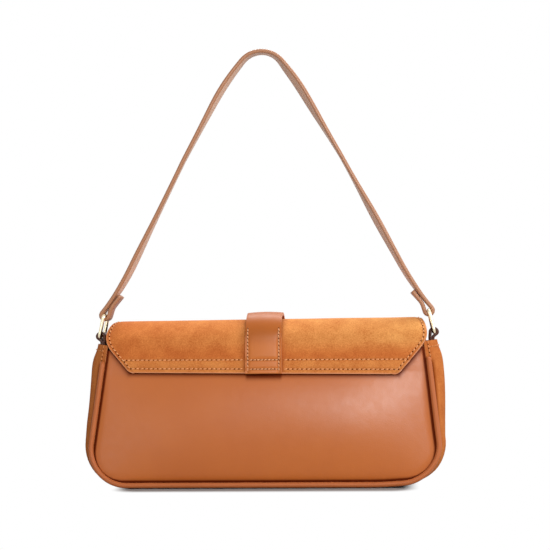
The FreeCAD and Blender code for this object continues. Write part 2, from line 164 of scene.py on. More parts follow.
@dataclass(frozen=True)
class Finish:
    """A surface finish: what the material is, and the record's slot that it belongs to."""

    name: str
    slot: str

    def material(self) -> bpy.types.Material:
        """Make the material the first time it is asked for.

        Returns:
            The finished material.
        """
        made = bpy.data.materials.get(self.name)
        if not made:
            made = bpy.data.materials.new(self.name)
            made.use_nodes = True
            tree = made.node_tree
            self.dress(tree, first_node(tree, "BSDF_PRINCIPLED"), add_node(tree, "TexCoord"))
        return made

    def dress(self, tree: Tree, shader: Node, place: Outputs) -> None:
        """Set the shader up; each finish has its own way.

        Args:
            tree: The material's node tree.
            shader: Its surface shader.
            place: Its texture coordinates.
        """
        raise NotImplementedError


@dataclass(frozen=True)
class SmoothLeather(Finish):
    """Vegetable-tanned calf, plated smooth: close pores, soft broad sheen, tone that drifts over the hide."""

    tone: str = "#c06826"
    deep: str = "#b25b20"
    # Colour of the painted shade: grooves beside the piping, painted shadow below overhanging edges, darkening
    # along stitching.
    painted_shade: str = "#5e2008"
    grain_mm: float = 1.1
    crease_grains: float = 5.0
    drift_mm: float = 46.0
    gloss: Pair = (0.27, 0.4)
    grain_depth_mm: float = 0.12
    shine: float = 0.42
    coat: float = 0.06
    has_painted_shade: bool = False

    def dress(self, tree: Tree, shader: Node, place: Outputs) -> None:
        """Tone drift, a grain of fine cells, uneven gloss, and painted shade in grooves and under overhanging
        edges, darker and duller.

        Args:
            tree: The node tree.
            shader: Its shader.
            place: Its coordinates.
        """
        spot = place["Object"]
        drift = {"Scale": per_mm(self.drift_mm), "Detail": 3.0, "Vector": spot}
        share = add_node(tree, "TexNoise", drift)["Fac"]
        tones = {"data_type": "RGBA", 0: share, 6: linear(self.deep), 7: linear(self.tone)}
        hide = add_node(tree, "Mix", tones)[2]
        grain = {"feature": "DISTANCE_TO_EDGE", "Scale": per_mm(self.grain_mm), "Vector": spot}
        cells = add_node(tree, "TexVoronoi", grain)["Distance"]
        folds = {"Scale": per_mm(self.crease_grains * self.grain_mm), "Detail": 5.0, "Vector": spot}
        creases = add_node(tree, "TexNoise", folds)["Fac"]
        relief = add_node(tree, "Math", {"operation": "ADD", 0: cells, 1: creases})[0]
        bump = {"Strength": 0.5, "Distance": self.grain_depth_mm * MM, "Height": relief}
        gloss = {"To Min": self.gloss[0], "To Max": self.gloss[1], "Value": creases}
        feed(shader, {
            "Base Color": hide,
            "Roughness": add_node(tree, "MapRange", gloss)[0],
            "Normal": add_node(tree, "Bump", bump)[0],
            "Specular IOR Level": self.shine,
            "IOR": 1.45,
            "Coat Weight": self.coat,
            "Coat Roughness": 0.35,
        })
        # Painted shade: where the per-vertex mask is set, the colour darkens towards the painted shade tone and
        # the specular level drops, so grooves and the strips below the flap's and tab's edges look shaded.
        if self.has_painted_shade:
            painted_shade = add_node(tree, "Attribute", {"attribute_name": "painted_shade"})["Fac"]
            painted_shade_mix = {"data_type": "RGBA", 0: painted_shade, 6: hide, 7: linear(self.painted_shade)}
            dulled = {"To Min": self.shine, "To Max": 0.0, "Value": painted_shade}
            feed(shader, {
                "Base Color": add_node(tree, "Mix", painted_shade_mix)[2],
                "Specular IOR Level": add_node(tree, "MapRange", dulled)[0],
            })


@dataclass(frozen=True)
class Suede(Finish):
    """Split calf, brushed to a short nap: no gloss, cloudy light and dark where the nap lies over, pale sheen."""

    tone: str = "#d97f3e"
    shade: str = "#b0531f"
    # Colour of the painted shade beside the piped seams and along stitching, and of the painted shadow beside the
    # tab.
    painted_shade: str = "#7e3610"
    bloom: str = "#f3b98a"
    # Colour gain of the painted sheen: lighter, paler gold where its mask is set.
    brushed: Colour = (1.25, 2.0, 2.6, 1.0)
    sheen: float = 0.3
    shine: float = 0.2
    cloud_mm: float = 12.0
    nap_mm: float = 0.9
    nap_depth_mm: float = 0.16
    nap_share: float = 0.55
    contrast: Pair = (0.34, 0.66)

    def dress(self, tree: Tree, shader: Node, place: Outputs) -> None:
        """Clouds of nap, fine fibres and a sheen, with painted sheen over the fold and painted shade along seams
        and grooves; the fibres are drawn coarse enough to show.

        Args:
            tree: The node tree.
            shader: Its shader.
            place: Its coordinates.
        """
        spot = place["Object"]
        clouds = {"Scale": per_mm(self.cloud_mm), "Detail": 6.0, "Roughness": 0.62, "Vector": spot}
        fibres = {"Scale": per_mm(self.nap_mm), "Detail": 3.0, "Roughness": 0.7, "Vector": spot}
        cloud, nap = (add_node(tree, "TexNoise", grain)["Fac"] for grain in (clouds, fibres))
        both = add_node(tree, "Mix", {0: self.nap_share, 2: cloud, 3: nap})[0]
        lie = {"From Min": self.contrast[0], "From Max": self.contrast[1], "Value": both}
        share = add_node(tree, "MapRange", lie)[0]
        tones = {"data_type": "RGBA", 0: share, 6: linear(self.shade), 7: linear(self.tone)}
        nap_tone = add_node(tree, "Mix", tones)[2]
        brushed, painted_shade = (
            add_node(tree, "Attribute", {"attribute_name": name})["Fac"]
            for name in ("brushed", "painted_shade")
        )
        # Painted sheen lightens the nap where its mask is set; painted shade then darkens it where its own mask
        # is set.
        lighter = {"data_type": "RGBA", "blend_type": "MULTIPLY", 0: brushed, 6: nap_tone, 7: self.brushed}
        painted_shade_mix = {"data_type": "RGBA", 0: painted_shade, 6: add_node(tree, "Mix", lighter)[2], 7: linear(self.painted_shade)}
        bump = {"Strength": 0.7, "Distance": self.nap_depth_mm * MM, "Height": both}
        feed(shader, {
            "Base Color": add_node(tree, "Mix", painted_shade_mix)[2],
            "Normal": add_node(tree, "Bump", bump)[0],
            "Roughness": 0.95,
            "Specular IOR Level": self.shine,
            "Sheen Weight": self.sheen,
            "Sheen Roughness": 0.45,
            "Sheen Tint": linear(self.bloom),
        })


@dataclass(frozen=True)
class EdgePaint(Finish):
    """Painted cut edge of leather: a smooth, slightly lighter and glossier skin with small ripples."""

    tone: str = "#cc7c45"
    gloss: float = 0.42
    ripple_mm: float = 3.0
    ripple_depth_mm: float = 0.02
    cover: Pair = (0.94, 1.05)

    def dress(self, tree: Tree, shader: Node, place: Outputs) -> None:
        """Even colour that thins out a little, and ripples left by the edge iron.

        Args:
            tree: The node tree.
            shader: Its shader.
            place: Its coordinates.
        """
        waves = {"Scale": per_mm(self.ripple_mm), "Detail": 2.0, "Vector": place["Object"]}
        ripples = add_node(tree, "TexNoise", waves)["Fac"]
        cover = {"To Min": self.cover[0], "To Max": self.cover[1], "Value": ripples}
        paint = {"Color": linear(self.tone), "Value": add_node(tree, "MapRange", cover)[0]}
        bump = {"Strength": 0.2, "Distance": self.ripple_depth_mm * MM, "Height": ripples}
        feed(shader, {
            "Base Color": add_node(tree, "HueSaturation", paint)[0],
            "Normal": add_node(tree, "Bump", bump)[0],
            "Roughness": self.gloss,
        })


@dataclass(frozen=True)
class WaxedThread(Finish):
    """Waxed polyester thread: two plies twisted tight, a little paler than the leather, with a dull sheen."""

    tone: str = "#efad74"
    # Dark bands: painted shade in the hollows between the twisted plies.
    hollow: str = "#da9058"
    ply_mm: float = 0.5

    def dress(self, tree: Tree, shader: Node, place: Outputs) -> None:
        """Slanting light and dark bands for the twist of the plies, the dark ones painted shade in the hollows.

        Args:
            tree: The node tree.
            shader: Its shader.
            place: Its coordinates.
        """
        spot = place["Object"]
        plies = {"bands_direction": "DIAGONAL", "Scale": per_mm(self.ply_mm) / math.tau, "Vector": spot}
        twist = add_node(tree, "TexWave", plies)["Fac"]
        tones = {"data_type": "RGBA", 0: twist, 6: linear(self.hollow), 7: linear(self.tone)}
        tone = add_node(tree, "Mix", tones)[2]
        feed(shader, {"Base Color": tone, "Roughness": 0.55, "Specular IOR Level": 0.25})


@dataclass(frozen=True)
class PlatedMetal(Finish):
    """Plated and polished metal: clear reflections, broken up by fine polishing lines and thin spots."""

    tone: str = "#eadcbc"
    gloss: Pair = (0.14, 0.28)
    polish_mm: float = 1.2
    polish_depth_mm: float = 0.02

    def dress(self, tree: Tree, shader: Node, place: Outputs) -> None:
        """Metal whose gloss wanders with the polishing.

        Args:
            tree: The node tree.
            shader: Its shader.
            place: Its coordinates.
        """
        lines = {"Scale": per_mm(self.polish_mm), "Detail": 4.0, "Vector": place["Object"]}
        polish = add_node(tree, "TexNoise", lines)["Fac"]
        gloss = {"To Min": self.gloss[0], "To Max": self.gloss[1], "Value": polish}
        bump = {"Strength": 0.2, "Distance": self.polish_depth_mm * MM, "Height": polish}
        feed(shader, {
            "Base Color": linear(self.tone),
            "Metallic": 1.0,
            "Roughness": add_node(tree, "MapRange", gloss)[0],
            "Normal": add_node(tree, "Bump", bump)[0],
        })


@dataclass(frozen=True)
class CottonLining(Finish):
    """Plain-woven cotton: matt, with the two thread directions just showing."""

    tone: str = "#a87850"
    # Darker where the threads dip: painted shade in the hollows of the weave.
    hollow: str = "#875a39"
    thread_mm: float = 0.8
    weave_depth_mm: float = 0.15

    def dress(self, tree: Tree, shader: Node, place: Outputs) -> None:
        """Crossed bands along the piece's own UV map, in millimetres, for warp and weft.

        Args:
            tree: The node tree.
            shader: Its shader.
            place: Its coordinates.
        """
        bands = {"Scale": 1 / (self.thread_mm * math.tau), "Distortion": 0.6, "Vector": place["UV"]}
        warp, weft = (
            add_node(tree, "TexWave", {"bands_direction": way, **bands})["Fac"] for way in "XY"
        )
        weave = add_node(tree, "Math", {"operation": "MULTIPLY", 0: warp, 1: weft})[0]
        tones = {"data_type": "RGBA", 0: weave, 6: linear(self.hollow), 7: linear(self.tone)}
        bump = {"Strength": 0.5, "Distance": self.weave_depth_mm * MM, "Height": weave}
        feed(shader, {
            "Base Color": add_node(tree, "Mix", tones)[2],
            "Normal": add_node(tree, "Bump", bump)[0],
            "Roughness": 0.85,
        })


@dataclass(frozen=True)
class FibreBoard(Finish):
    """Pressed fibre board: matt and pale, with flecks of fibre."""

    tone: str = "#b8a98f"
    fleck: str = "#94856c"
    fleck_mm: float = 1.6

    def dress(self, tree: Tree, shader: Node, place: Outputs) -> None:
        """Flecks in two tones.

        Args:
            tree: The node tree.
            shader: Its shader.
            place: Its coordinates.
        """
        fibres = {"Scale": per_mm(self.fleck_mm), "Detail": 4.0, "Vector": place["Object"]}
        flecks = add_node(tree, "TexNoise", fibres)["Fac"]
        tones = {"data_type": "RGBA", 0: flecks, 6: linear(self.fleck), 7: linear(self.tone)}
        feed(shader, {"Base Color": add_node(tree, "Mix", tones)[2], "Roughness": 0.9})


PANEL_LEATHER = SmoothLeather("tan_calf_leather", "tan_leather", has_painted_shade=True)
PIPING_LEATHER = SmoothLeather(
    "tan_piping_leather",
    "tan_leather",
    tone="#bd6b3c",
    deep="#ae5d30",
    gloss=(0.42, 0.54),
    grain_depth_mm=0.03,
    shine=0.24,
    coat=0.0,
)
TAB_LEATHER = SmoothLeather(
    "tan_tab_leather", "tan_leather", tone="#c8722f", deep="#bb6528", gloss=(0.36, 0.48), shine=0.3, has_painted_shade=True
)
STRAP_LEATHER = SmoothLeather(
    "tan_strap_leather",
    "handle_leather",
    tone="#aa6e48",
    deep="#9d6139",
    drift_mm=30.0,
    gloss=(0.42, 0.56),
    grain_depth_mm=0.006,
)
# The strap's inner face: its lining leather, made paler still as a painted highlight where light grazes that
# face.
STRAP_INNER = SmoothLeather(
    "strap_lining_leather",
    "handle_leather",
    tone="#deb59c",
    deep="#d2a588",
    gloss=(0.42, 0.56),
    grain_depth_mm=0.006,
)
# Nearly black: dark brown leather, darkened further as painted shade of the loops' shaded insides.
ANCHOR_LEATHER = SmoothLeather(
    "dark_anchor_leather", "handle_leather", tone="#56290f", deep="#3a1808", shine=0.3
)
FLAP_LINING_LEATHER = SmoothLeather(
    "tan_flap_lining_leather", "tan_leather", tone="#b87a50", deep="#a96b42", coat=0.0
)
# Dark dish at each needle hole: painted shade of the hole.
NEEDLE_HOLE_SHADE = SmoothLeather(
    "needle_hole_painted_shade", "tan_leather", tone="#541c06", deep="#481604", shine=0.0, coat=0.0
)
FLAP_SUEDE = Suede("tan_brushed_suede", "tan_suede")
GUSSET_SUEDE = Suede("tan_gusset_suede", "tan_suede", tone="#d28145", shade="#b25f2f", sheen=0.06, shine=0.0)
EDGE_PAINT = EdgePaint("tan_edge_paint", "tan_leather")
STRAP_EDGE = EdgePaint("strap_edge_paint", "handle_leather", tone="#ab7450", gloss=0.36)
THREAD = WaxedThread("waxed_polyester_thread", "tan_leather")
TAB_THREAD = WaxedThread("tan_tab_thread", "tan_leather", tone="#e6ac80", hollow="#d0905e")
GUSSET_THREAD = WaxedThread("tan_polyester_thread", "tan_suede", tone="#dc9258", hollow="#c67a40")
GOLD = PlatedMetal("pale_gold_plate", "pale_gold")
STEEL = PlatedMetal("plated_snap_steel", "snap_steel", tone="#c9c9c6")
LINING = CottonLining("plain_cotton_lining", "lining_cloth")
BOARD = FibreBoard("pressed_fibre_board", "stiffener_board")


def deselect_all() -> None:
    """Clear the selection, which otherwise holds every node of the frame."""
    if bpy.context.mode != "OBJECT":
        bpy.ops.object.mode_set(mode="OBJECT")
    bpy.ops.object.select_all(action="DESELECT")


def apply_modifiers(piece: Piece) -> None:
    """Select one piece alone and apply its modifiers, in order."""
    deselect_all()
    piece.select_set(True)
    bpy.context.view_layer.objects.active = piece
    for modifier in list(piece.modifiers):
        bpy.ops.object.modifier_apply(modifier=modifier.name)


def box_mm(node: str) -> list[Vector]:
    """Lowest and highest corners of a node of the frame, in millimetres."""
    return [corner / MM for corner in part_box(node)]


def stand_in(piece: Piece, node: str, body: str = "bag") -> Piece:
    """Let a piece take a node's place and ride on a body."""
    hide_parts(node)
    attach(piece, body)
    return piece


def bell(distance: float, reach: float) -> float:
    """Fall smoothly from 1 at no distance to nearly 0 at twice the reach, on both sides."""
    return math.exp(-((distance / reach) ** 2))


def smooth_step(value: float, low: float, high: float) -> float:
    """Rise smoothly from 0 at the low value to 1 at the high value."""
    share = min(1.0, max(0.0, (value - low) / (high - low)))
    return share * share * (3 - 2 * share)


def soft_min(first: float, second: float, blend: float) -> float:
    """The lesser of two values, with the change from one to the other rounded over the blend."""
    gap = max(blend - abs(first - second), 0.0) / blend
    return min(first, second) - gap * gap * blend / 4


@dataclass(frozen=True)
class Waver:
    """Slow, even unevenness: its height, the distance between its swells, and a seed that moves the pattern."""

    height: float
    length: float
    seed: float = 0.0

    def at(self, spot: Vector, sign: int = 1) -> float:
        """How uneven a place is; the sign sets the two sides or ends apart."""
        seed = self.seed * sign
        return self.height * noise.noise(Vector((spot.x + seed, spot.y - seed, spot.z + 2 * seed)) / self.length)


def link_mesh(
    name: str, points: Line, faces: Sequence[Sequence[int]], finishes: Sequence[Finish]
) -> Piece:
    """Make an object from points in millimetres.

    Args:
        name: Name of the piece.
        points: Vertices, in millimetres in the bag's frame.
        faces: Corner numbers of each face, anticlockwise from outside.
        finishes: Its finishes; the first is the main one.

    Returns:
        The new object, smooth shaded.
    """
    mesh = bpy.data.meshes.new(name)
    mesh.from_pydata([point * MM for point in points], [], [list(face) for face in faces])
    mesh.shade_smooth()
    for finish in finishes:
        mesh.materials.append(finish.material())
    piece = bpy.data.objects.new(name, mesh)
    bpy.context.scene.collection.objects.link(piece)
    return piece


def grid_faces(rows: int, columns: int, closed: bool = False) -> Faces:
    """Quads of a grid of vertices.

    Args:
        rows: Number of rows.
        columns: Number of vertices in a row.
        closed: Whether each row runs round and joins up with its start.

    Returns:
        The corners of each quad.
    """
    faces = []
    for row in range(rows - 1):
        for column in range(columns if closed else columns - 1):
            after = (column + 1) % columns
            low, high = row * columns, (row + 1) * columns
            faces.append((low + column, low + after, high + after, high + column))
    return faces


def turned(faces: Faces) -> Faces:
    """The same faces, looking the other way."""
    return [tuple(reversed(face)) for face in faces]


def lay_uv(piece: Piece, grid: Grid) -> None:
    """Give a grid a UV map in millimetres along its columns and rows, for weaves that follow the piece."""
    middle = len(grid[0]) // 2
    risen = [0.0]
    for before, row in zip(grid, grid[1:]):
        risen.append(risen[-1] + (row[middle] - before[middle]).length)
    places = []
    for height, points in zip(risen, grid):
        run = 0.0
        for column, point in enumerate(points):
            run += (point - points[column - 1]).length if column else 0.0
            places.append((run, height))
    layer = piece.data.uv_layers.new(name="cloth")
    for loop in piece.data.loops:
        layer.data[loop.index].uv = places[loop.vertex_index]


def mark(piece: Piece, name: str, values: Sequence[float]) -> None:
    """Store a value from 0 to 1 at each vertex for the finishes: one mask darkens as painted shade, one lightens
    as painted sheen.
    """
    layer = piece.data.attributes.new(name, "FLOAT", "POINT")
    layer.data.foreach_set("value", values)


def thicken(piece: Piece, thickness: float, rounding: float, rim: Optional[Finish] = None) -> None:
    """Give a sheet its thickness, inwards from its drawn face, and round its cut edges.

    Args:
        piece: A sheet with its faces pointing outwards.
        thickness: Thickness in millimetres.
        rounding: Radius of the rounded edges in millimetres.
        rim: Finish of the cut edge, where it differs.
    """
    wall = piece.modifiers.new("wall", "SOLIDIFY")
    wall.thickness = thickness * MM
    wall.offset = -1
    if rim:
        piece.data.materials.append(rim.material())
        wall.material_offset_rim = len(piece.data.materials) - 1
    edge = piece.modifiers.new("rounded_edge", "BEVEL")
    edge.width = rounding * MM
    edge.segments = EDGE_SEGMENTS
    edge.limit_method = "ANGLE"
    edge.angle_limit = EDGE_ANGLE
    apply_modifiers(piece)
    piece.data.shade_smooth()


def sheet_from(
    name: str,
    grid: Grid,
    finish: Finish,
    thickness: float,
    rounding: float,
    rim: Optional[Finish] = None,
    shades: Optional[Sequence[float]] = None,
    flipped: bool = False,
    brushed: Optional[Sequence[float]] = None,
    lapped: bool = False,
) -> Piece:
    """Make a sheet of leather or cloth from a grid of points.

    Args:
        name: Name of the piece.
        grid: Points of its outer face, in millimetres.
        finish: Its finish.
        thickness: Its thickness in millimetres.
        rounding: Radius of its cut edges.
        rim: Finish of its cut edges.
        shades: How much painted shade each point has, from 0 to 1.
        flipped: Whether the grid runs the other way round, so that its faces have to be turned.
        brushed: How much painted sheen lightens the nap at each point, from 0 to 1.
        lapped: Whether the finish of the cut edges laps on to the outermost faces.

    Returns:
        The finished sheet.
    """
    rows, columns = len(grid), len(grid[0])
    faces = grid_faces(rows, columns)
    piece = link_mesh(name, [p for row in grid for p in row], turned(faces) if flipped else faces, [finish])
    lay_uv(piece, grid)
    for layer, values in (("painted_shade", shades), ("brushed", brushed)):
        if values:
            mark(piece, layer, values)
    if lapped:
        for polygon in piece.data.polygons:
            row, column = divmod(polygon.index, columns - 1)
            polygon.material_index = int(row in (0, rows - 2) or column in (0, columns - 2))
    thicken(piece, thickness, rounding, rim)
    return piece


def heading(path: Line, place: int) -> Vector:
    """Direction of a path at one of its points."""
    return (path[min(place + 1, len(path) - 1)] - path[max(place - 1, 0)]).normalized()


def sleeve_from(name: str, rings: Grid, finishes: Sequence[Finish], flipped: bool = False) -> Piece:
    """Make a closed skin through a row of rings of points.

    Args:
        name: Name of the piece.
        rings: The points of each ring, in millimetres.
        finishes: Its finishes; the first is the main one.
        flipped: Whether the rings run the other way round, so that the faces have to be turned.

    Returns:
        The skin, with a flat face over each end.
    """
    count = len(rings[0])
    last = (len(rings) - 1) * count
    faces = grid_faces(len(rings), count, closed=True)
    faces += [tuple(reversed(range(count))), tuple(range(last, last + count))]
    return link_mesh(name, [p for ring in rings for p in ring], turned(faces) if flipped else faces, finishes)


def tube_from(
    name: str, path: Line, radii: Sequence[float], finish: Finish, across: Vector, sides: int = 14
) -> Piece:
    """Make a round welt along a path.

    Args:
        name: Name of the piece.
        path: Points along its middle, in millimetres.
        radii: Its radius at each point.
        finish: Its finish.
        across: A direction that the path never runs along.
        sides: Number of faces round it.

    Returns:
        The finished tube, closed at both ends.
    """
    turns = [math.tau * side / sides for side in range(sides)]
    rings: Grid = []
    for place, middle in enumerate(path):
        ahead = heading(path, place)
        out = ahead.cross(across).normalized()
        up = out.cross(ahead)
        rings.append([middle + (out * math.cos(turn) + up * math.sin(turn)) * radii[place] for turn in turns])
    return sleeve_from(name, rings, [finish], flipped=True)


@dataclass(frozen=True)
class Strip:
    """Cross-section of a strip of leather: a flat bar with softly rounded edges."""

    width: float
    thickness: float
    rounding: float
    corner_steps: int = 3

    def corners(self) -> list[Pair]:
        """Points round the section, as shifts across the width and through the thickness.

        Returns:
            The points, anticlockwise.
        """
        points = []
        wide = self.width / 2 - self.rounding
        deep = self.thickness / 2 - self.rounding
        for quarter, (x_sign, y_sign) in enumerate(((1, 1), (-1, 1), (-1, -1), (1, -1))):
            for step in range(self.corner_steps + 1):
                turn = math.pi / 2 * (quarter + step / self.corner_steps)
                across, inward = self.rounding * math.cos(turn), self.rounding * math.sin(turn)
                points.append((x_sign * wide + across, y_sign * deep + inward))
        return points


def strip_from(
    name: str, path: Line, section: Strip, finishes: tuple[Finish, Finish, Finish], twists: Sequence[float]
) -> Piece:
    """Make a strap along a path that lies in the plane of width and height.

    Args:
        name: Name of the piece.
        path: Points along its middle, in millimetres.
        section: Its cross-section; its width lies along the bag's depth.
        finishes: Finish of its outer face, of its edges and of its inner face.
        twists: How far it is turned about its own line at each point, in radians.

    Returns:
        The finished strap, closed at both ends.
    """
    corners = section.corners()
    depth = Vector((0, 1, 0))
    rings: Grid = []
    for place, middle in enumerate(path):
        out = heading(path, place).cross(depth).normalized()
        cos, sin = math.cos(twists[place]), math.sin(twists[place])
        wide = depth * cos + out * sin
        thick = out * cos - depth * sin
        rings.append([middle + wide * across + thick * inward for across, inward in corners])
    piece = sleeve_from(name, rings, finishes)
    steps = section.corner_steps + 1
    for polygon in piece.data.polygons[:-2]:
        column = polygon.vertices[0] % len(corners)
        polygon.material_index = {steps - 1: 2, 3 * steps - 1: 0}.get(column, 1)
    for polygon in piece.data.polygons[-2:]:
        polygon.material_index = 1
    return piece


def along(points: Line, spacing: float, start: float = 0.0) -> list[Ray]:
    """Walk along a line of points in even steps.

    Args:
        points: The line, in millimetres.
        spacing: Length of a step.
        start: Length before the first step.

    Returns:
        Each step's place and its direction.
    """
    steps = []
    due = start
    walked = 0.0
    for first, second in zip(points, points[1:]):
        run = (second - first).length
        while run and due <= walked + run:
            steps.append((first.lerp(second, (due - walked) / run), (second - first).normalized()))
            due += spacing
        walked += run
    return steps


def rounded_line(stops: Sequence[tuple[Vector, float]], spacing: float) -> list[Vector]:
    """Points along straight runs between stops, with a rounded bend at each stop.

    Args:
        stops: The corners in millimetres, each with its bend radius.
        spacing: Distance between points.

    Returns:
        The points, evenly spaced.
    """
    points = [stops[0][0]]
    for (before, _), (corner, radius), (after, _) in zip(stops, stops[1:], stops[2:]):
        back, on = (before - corner).normalized(), (after - corner).normalized()
        half = back.angle(on) / 2
        reach = radius / math.tan(half) if radius else 0.0
        if reach < SHORTEST_BEND:
            points.append(corner)
            continue
        middle = corner + (back + on).normalized() * (radius / math.sin(half))
        first, last = corner + back * reach - middle, corner + on * reach - middle
        turn = first.angle(last)
        for step in range(BEND_STEPS + 1):
            share = step / BEND_STEPS
            spoke = (first * math.sin((1 - share) * turn) + last * math.sin(share * turn)) / math.sin(turn)
            points.append(middle + spoke)
    points.append(stops[-1][0])
    length = sum((second - first).length for first, second in zip(points, points[1:]))
    count = max(2, round(length / spacing))
    walk = [place for place, _ in along(points, length / count * (1 - LAST_STEP_SLACK))]
    return walk if len(walk) > count else walk + [points[-1]]


def through(values: Sequence[float], share: float) -> float:
    """Smooth value through a few evenly spaced ones.

    Args:
        values: The values to pass through.
        share: Place among them, from 0 at the first to 1 at the last.

    Returns:
        The value there.
    """
    place = min(max(share, 0.0), 1.0) * (len(values) - 1)
    index = min(int(place), len(values) - 2)
    part = place - index
    before, first = values[max(index - 1, 0)], values[index]
    second, after = values[index + 1], values[min(index + 2, len(values) - 1)]
    bend = (second - before) / 2
    leave = (after - first) / 2
    cube = part ** 3
    square = part * part
    return (
        first * (2 * cube - 3 * square + 1)
        + bend * (cube - 2 * square + part)
        + second * (3 * square - 2 * cube)
        + leave * (cube - square)
    )


def spread(count: int, crowding: float = 0.35) -> list[float]:
    """Places from -1 to 1, closer together near both ends."""
    evenly = [2 * step / (count - 1) - 1 for step in range(count)]
    return [place * (1 + crowding - crowding * place * place) for place in evenly]


@dataclass(frozen=True)
class Body:
    """The bag's body in millimetres: two leaning panels between a base and a mouth."""

    base_rise: float = 4.5
    base_half_depth: float = 30.0
    mouth_half_depth: float = 18.0
    low_half_width: float = 131.4
    high_half_width: float = 119.0
    corner_radius: float = 25.5
    fold_axis_depth: float = 1.5
    mouth_height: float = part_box("rear_panel")[1].z / MM
    gusset_height: float = 106.3
    flap_rear_low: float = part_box("flap_rear")[0].z / MM
    flap_front_low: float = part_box("flap_front")[0].z / MM
    rear_crown: float = 5.0
    front_crown: float = 2.4
    lifted: float = 2.4
    drawn_in: float = 1.6
    drawn_height: float = 20.0
    settle_share: float = 0.6

    @property
    def lean(self) -> float:
        """Angle by which each panel leans inwards."""
        return math.atan2(self.base_half_depth - self.mouth_half_depth, self.mouth_height - self.base_rise)

    @property
    def panel_height(self) -> float:
        """Height of a panel up its own slope."""
        return self.panel_v(self.mouth_height)

    @property
    def slant(self) -> float:
        """Angle by which a panel's straight sides lean inwards."""
        return math.atan2(self.low_half_width - self.high_half_width, self.panel_height)

    @property
    def corner_u(self) -> float:
        """Half width of the panel's straight bottom edge, which ends where the corner begins."""
        return self.half_width(self.corner_radius) - self.corner_radius / math.cos(self.slant)

    @property
    def fold_radius(self) -> float:
        """Distance from the fold's axis to the planes that the flap lies on.

        Returns:
            The distance.
        """
        height = self.mouth_height - self.base_rise
        plane = self.base_half_depth * math.cos(self.lean) - height * math.sin(self.lean)
        return plane + self.fold_axis_depth * math.cos(self.lean)

    def panel_v(self, height: float) -> float:
        """Place up a panel's slope for a height above the floor."""
        return (height - self.base_rise) / math.cos(self.lean)

    def half_width(self, v: float) -> float:
        """Half width between a panel's straight sides at a place up its slope."""
        return self.low_half_width - v * math.tan(self.slant)

    def plane_depth(self, height: float) -> float:
        """Distance of a panel's plane from the middle of the bag at a height."""
        return self.base_half_depth - (height - self.base_rise) * math.tan(self.lean)

    def on_panel(self, side: Side, u: float, v: float, w: float) -> Vector:
        """Point on a leaning panel.

        Args:
            side: Which panel.
            u: Place along the width.
            v: Place up the slope.
            w: Height above the panel's plane, outwards.

        Returns:
            The point in the bag's frame, in millimetres.
        """
        depth = self.base_half_depth - v * math.sin(self.lean) + w * math.cos(self.lean)
        height = self.base_rise + v * math.cos(self.lean) + w * math.sin(self.lean)
        return self.settle(Vector((u, side.value * depth, height)))

    def settle(self, point: Vector) -> Vector:
        """Where a point comes to lie in the soft bag, whose right end is lifted and drawn in a little.

        Args:
            point: Where it would lie in an even bag.

        Returns:
            Where it lies.
        """
        share = smooth_step(point.x, self.settle_share * self.low_half_width, self.low_half_width)
        low = 1 - smooth_step(point.z, 0.0, self.mouth_height / 2)
        drawn = 1 - smooth_step(point.z, self.drawn_height, self.mouth_height)
        return point + Vector((-self.drawn_in * share * drawn, 0, self.lifted * share * low))

    def panel_out(self, side: Side) -> Vector:
        """Outward direction of a panel."""
        return Vector((0, side.value * math.cos(self.lean), math.sin(self.lean)))

    def outline(
        self, inset: float, top_v: float, corner_rows: int = 13, side_rows: int = 26
    ) -> list[Pair]:
        """Half widths of a panel from its bottom edge to a height, drawn in from its edge.

        Args:
            inset: Distance in from the panel's edge; less than 0 is outside it.
            top_v: Place up the slope where it stops.
            corner_rows: Rows round the lower corner.
            side_rows: Rows up the straight side.

        Returns:
            Place up the slope and half width of each row, from the bottom up.
        """
        radius = self.corner_radius - inset
        rows = []
        for row in range(corner_rows):
            turn = -math.pi / 2 + (self.slant + math.pi / 2) * row / (corner_rows - 1)
            rows.append((self.corner_radius + radius * math.sin(turn), self.corner_u + radius * math.cos(turn)))
        start = rows[-1][0]
        for row in range(1, side_rows + 1):
            v = start + (top_v - start) * row / side_rows
            rows.append((v, self.half_width(v) - inset / math.cos(self.slant)))
        return rows

    def edge_distance(self, u: float, v: float) -> float:
        """Distance in from the panel's sides and bottom edge.

        Args:
            u: Place along the width.
            v: Place up the slope.

        Returns:
            The distance.
        """
        from_side = (self.half_width(v) - abs(u)) * math.cos(self.slant)
        if from_side < self.corner_radius and v < self.corner_radius:
            return self.corner_radius - math.hypot(self.corner_radius - from_side, self.corner_radius - v)
        return min(from_side, v)


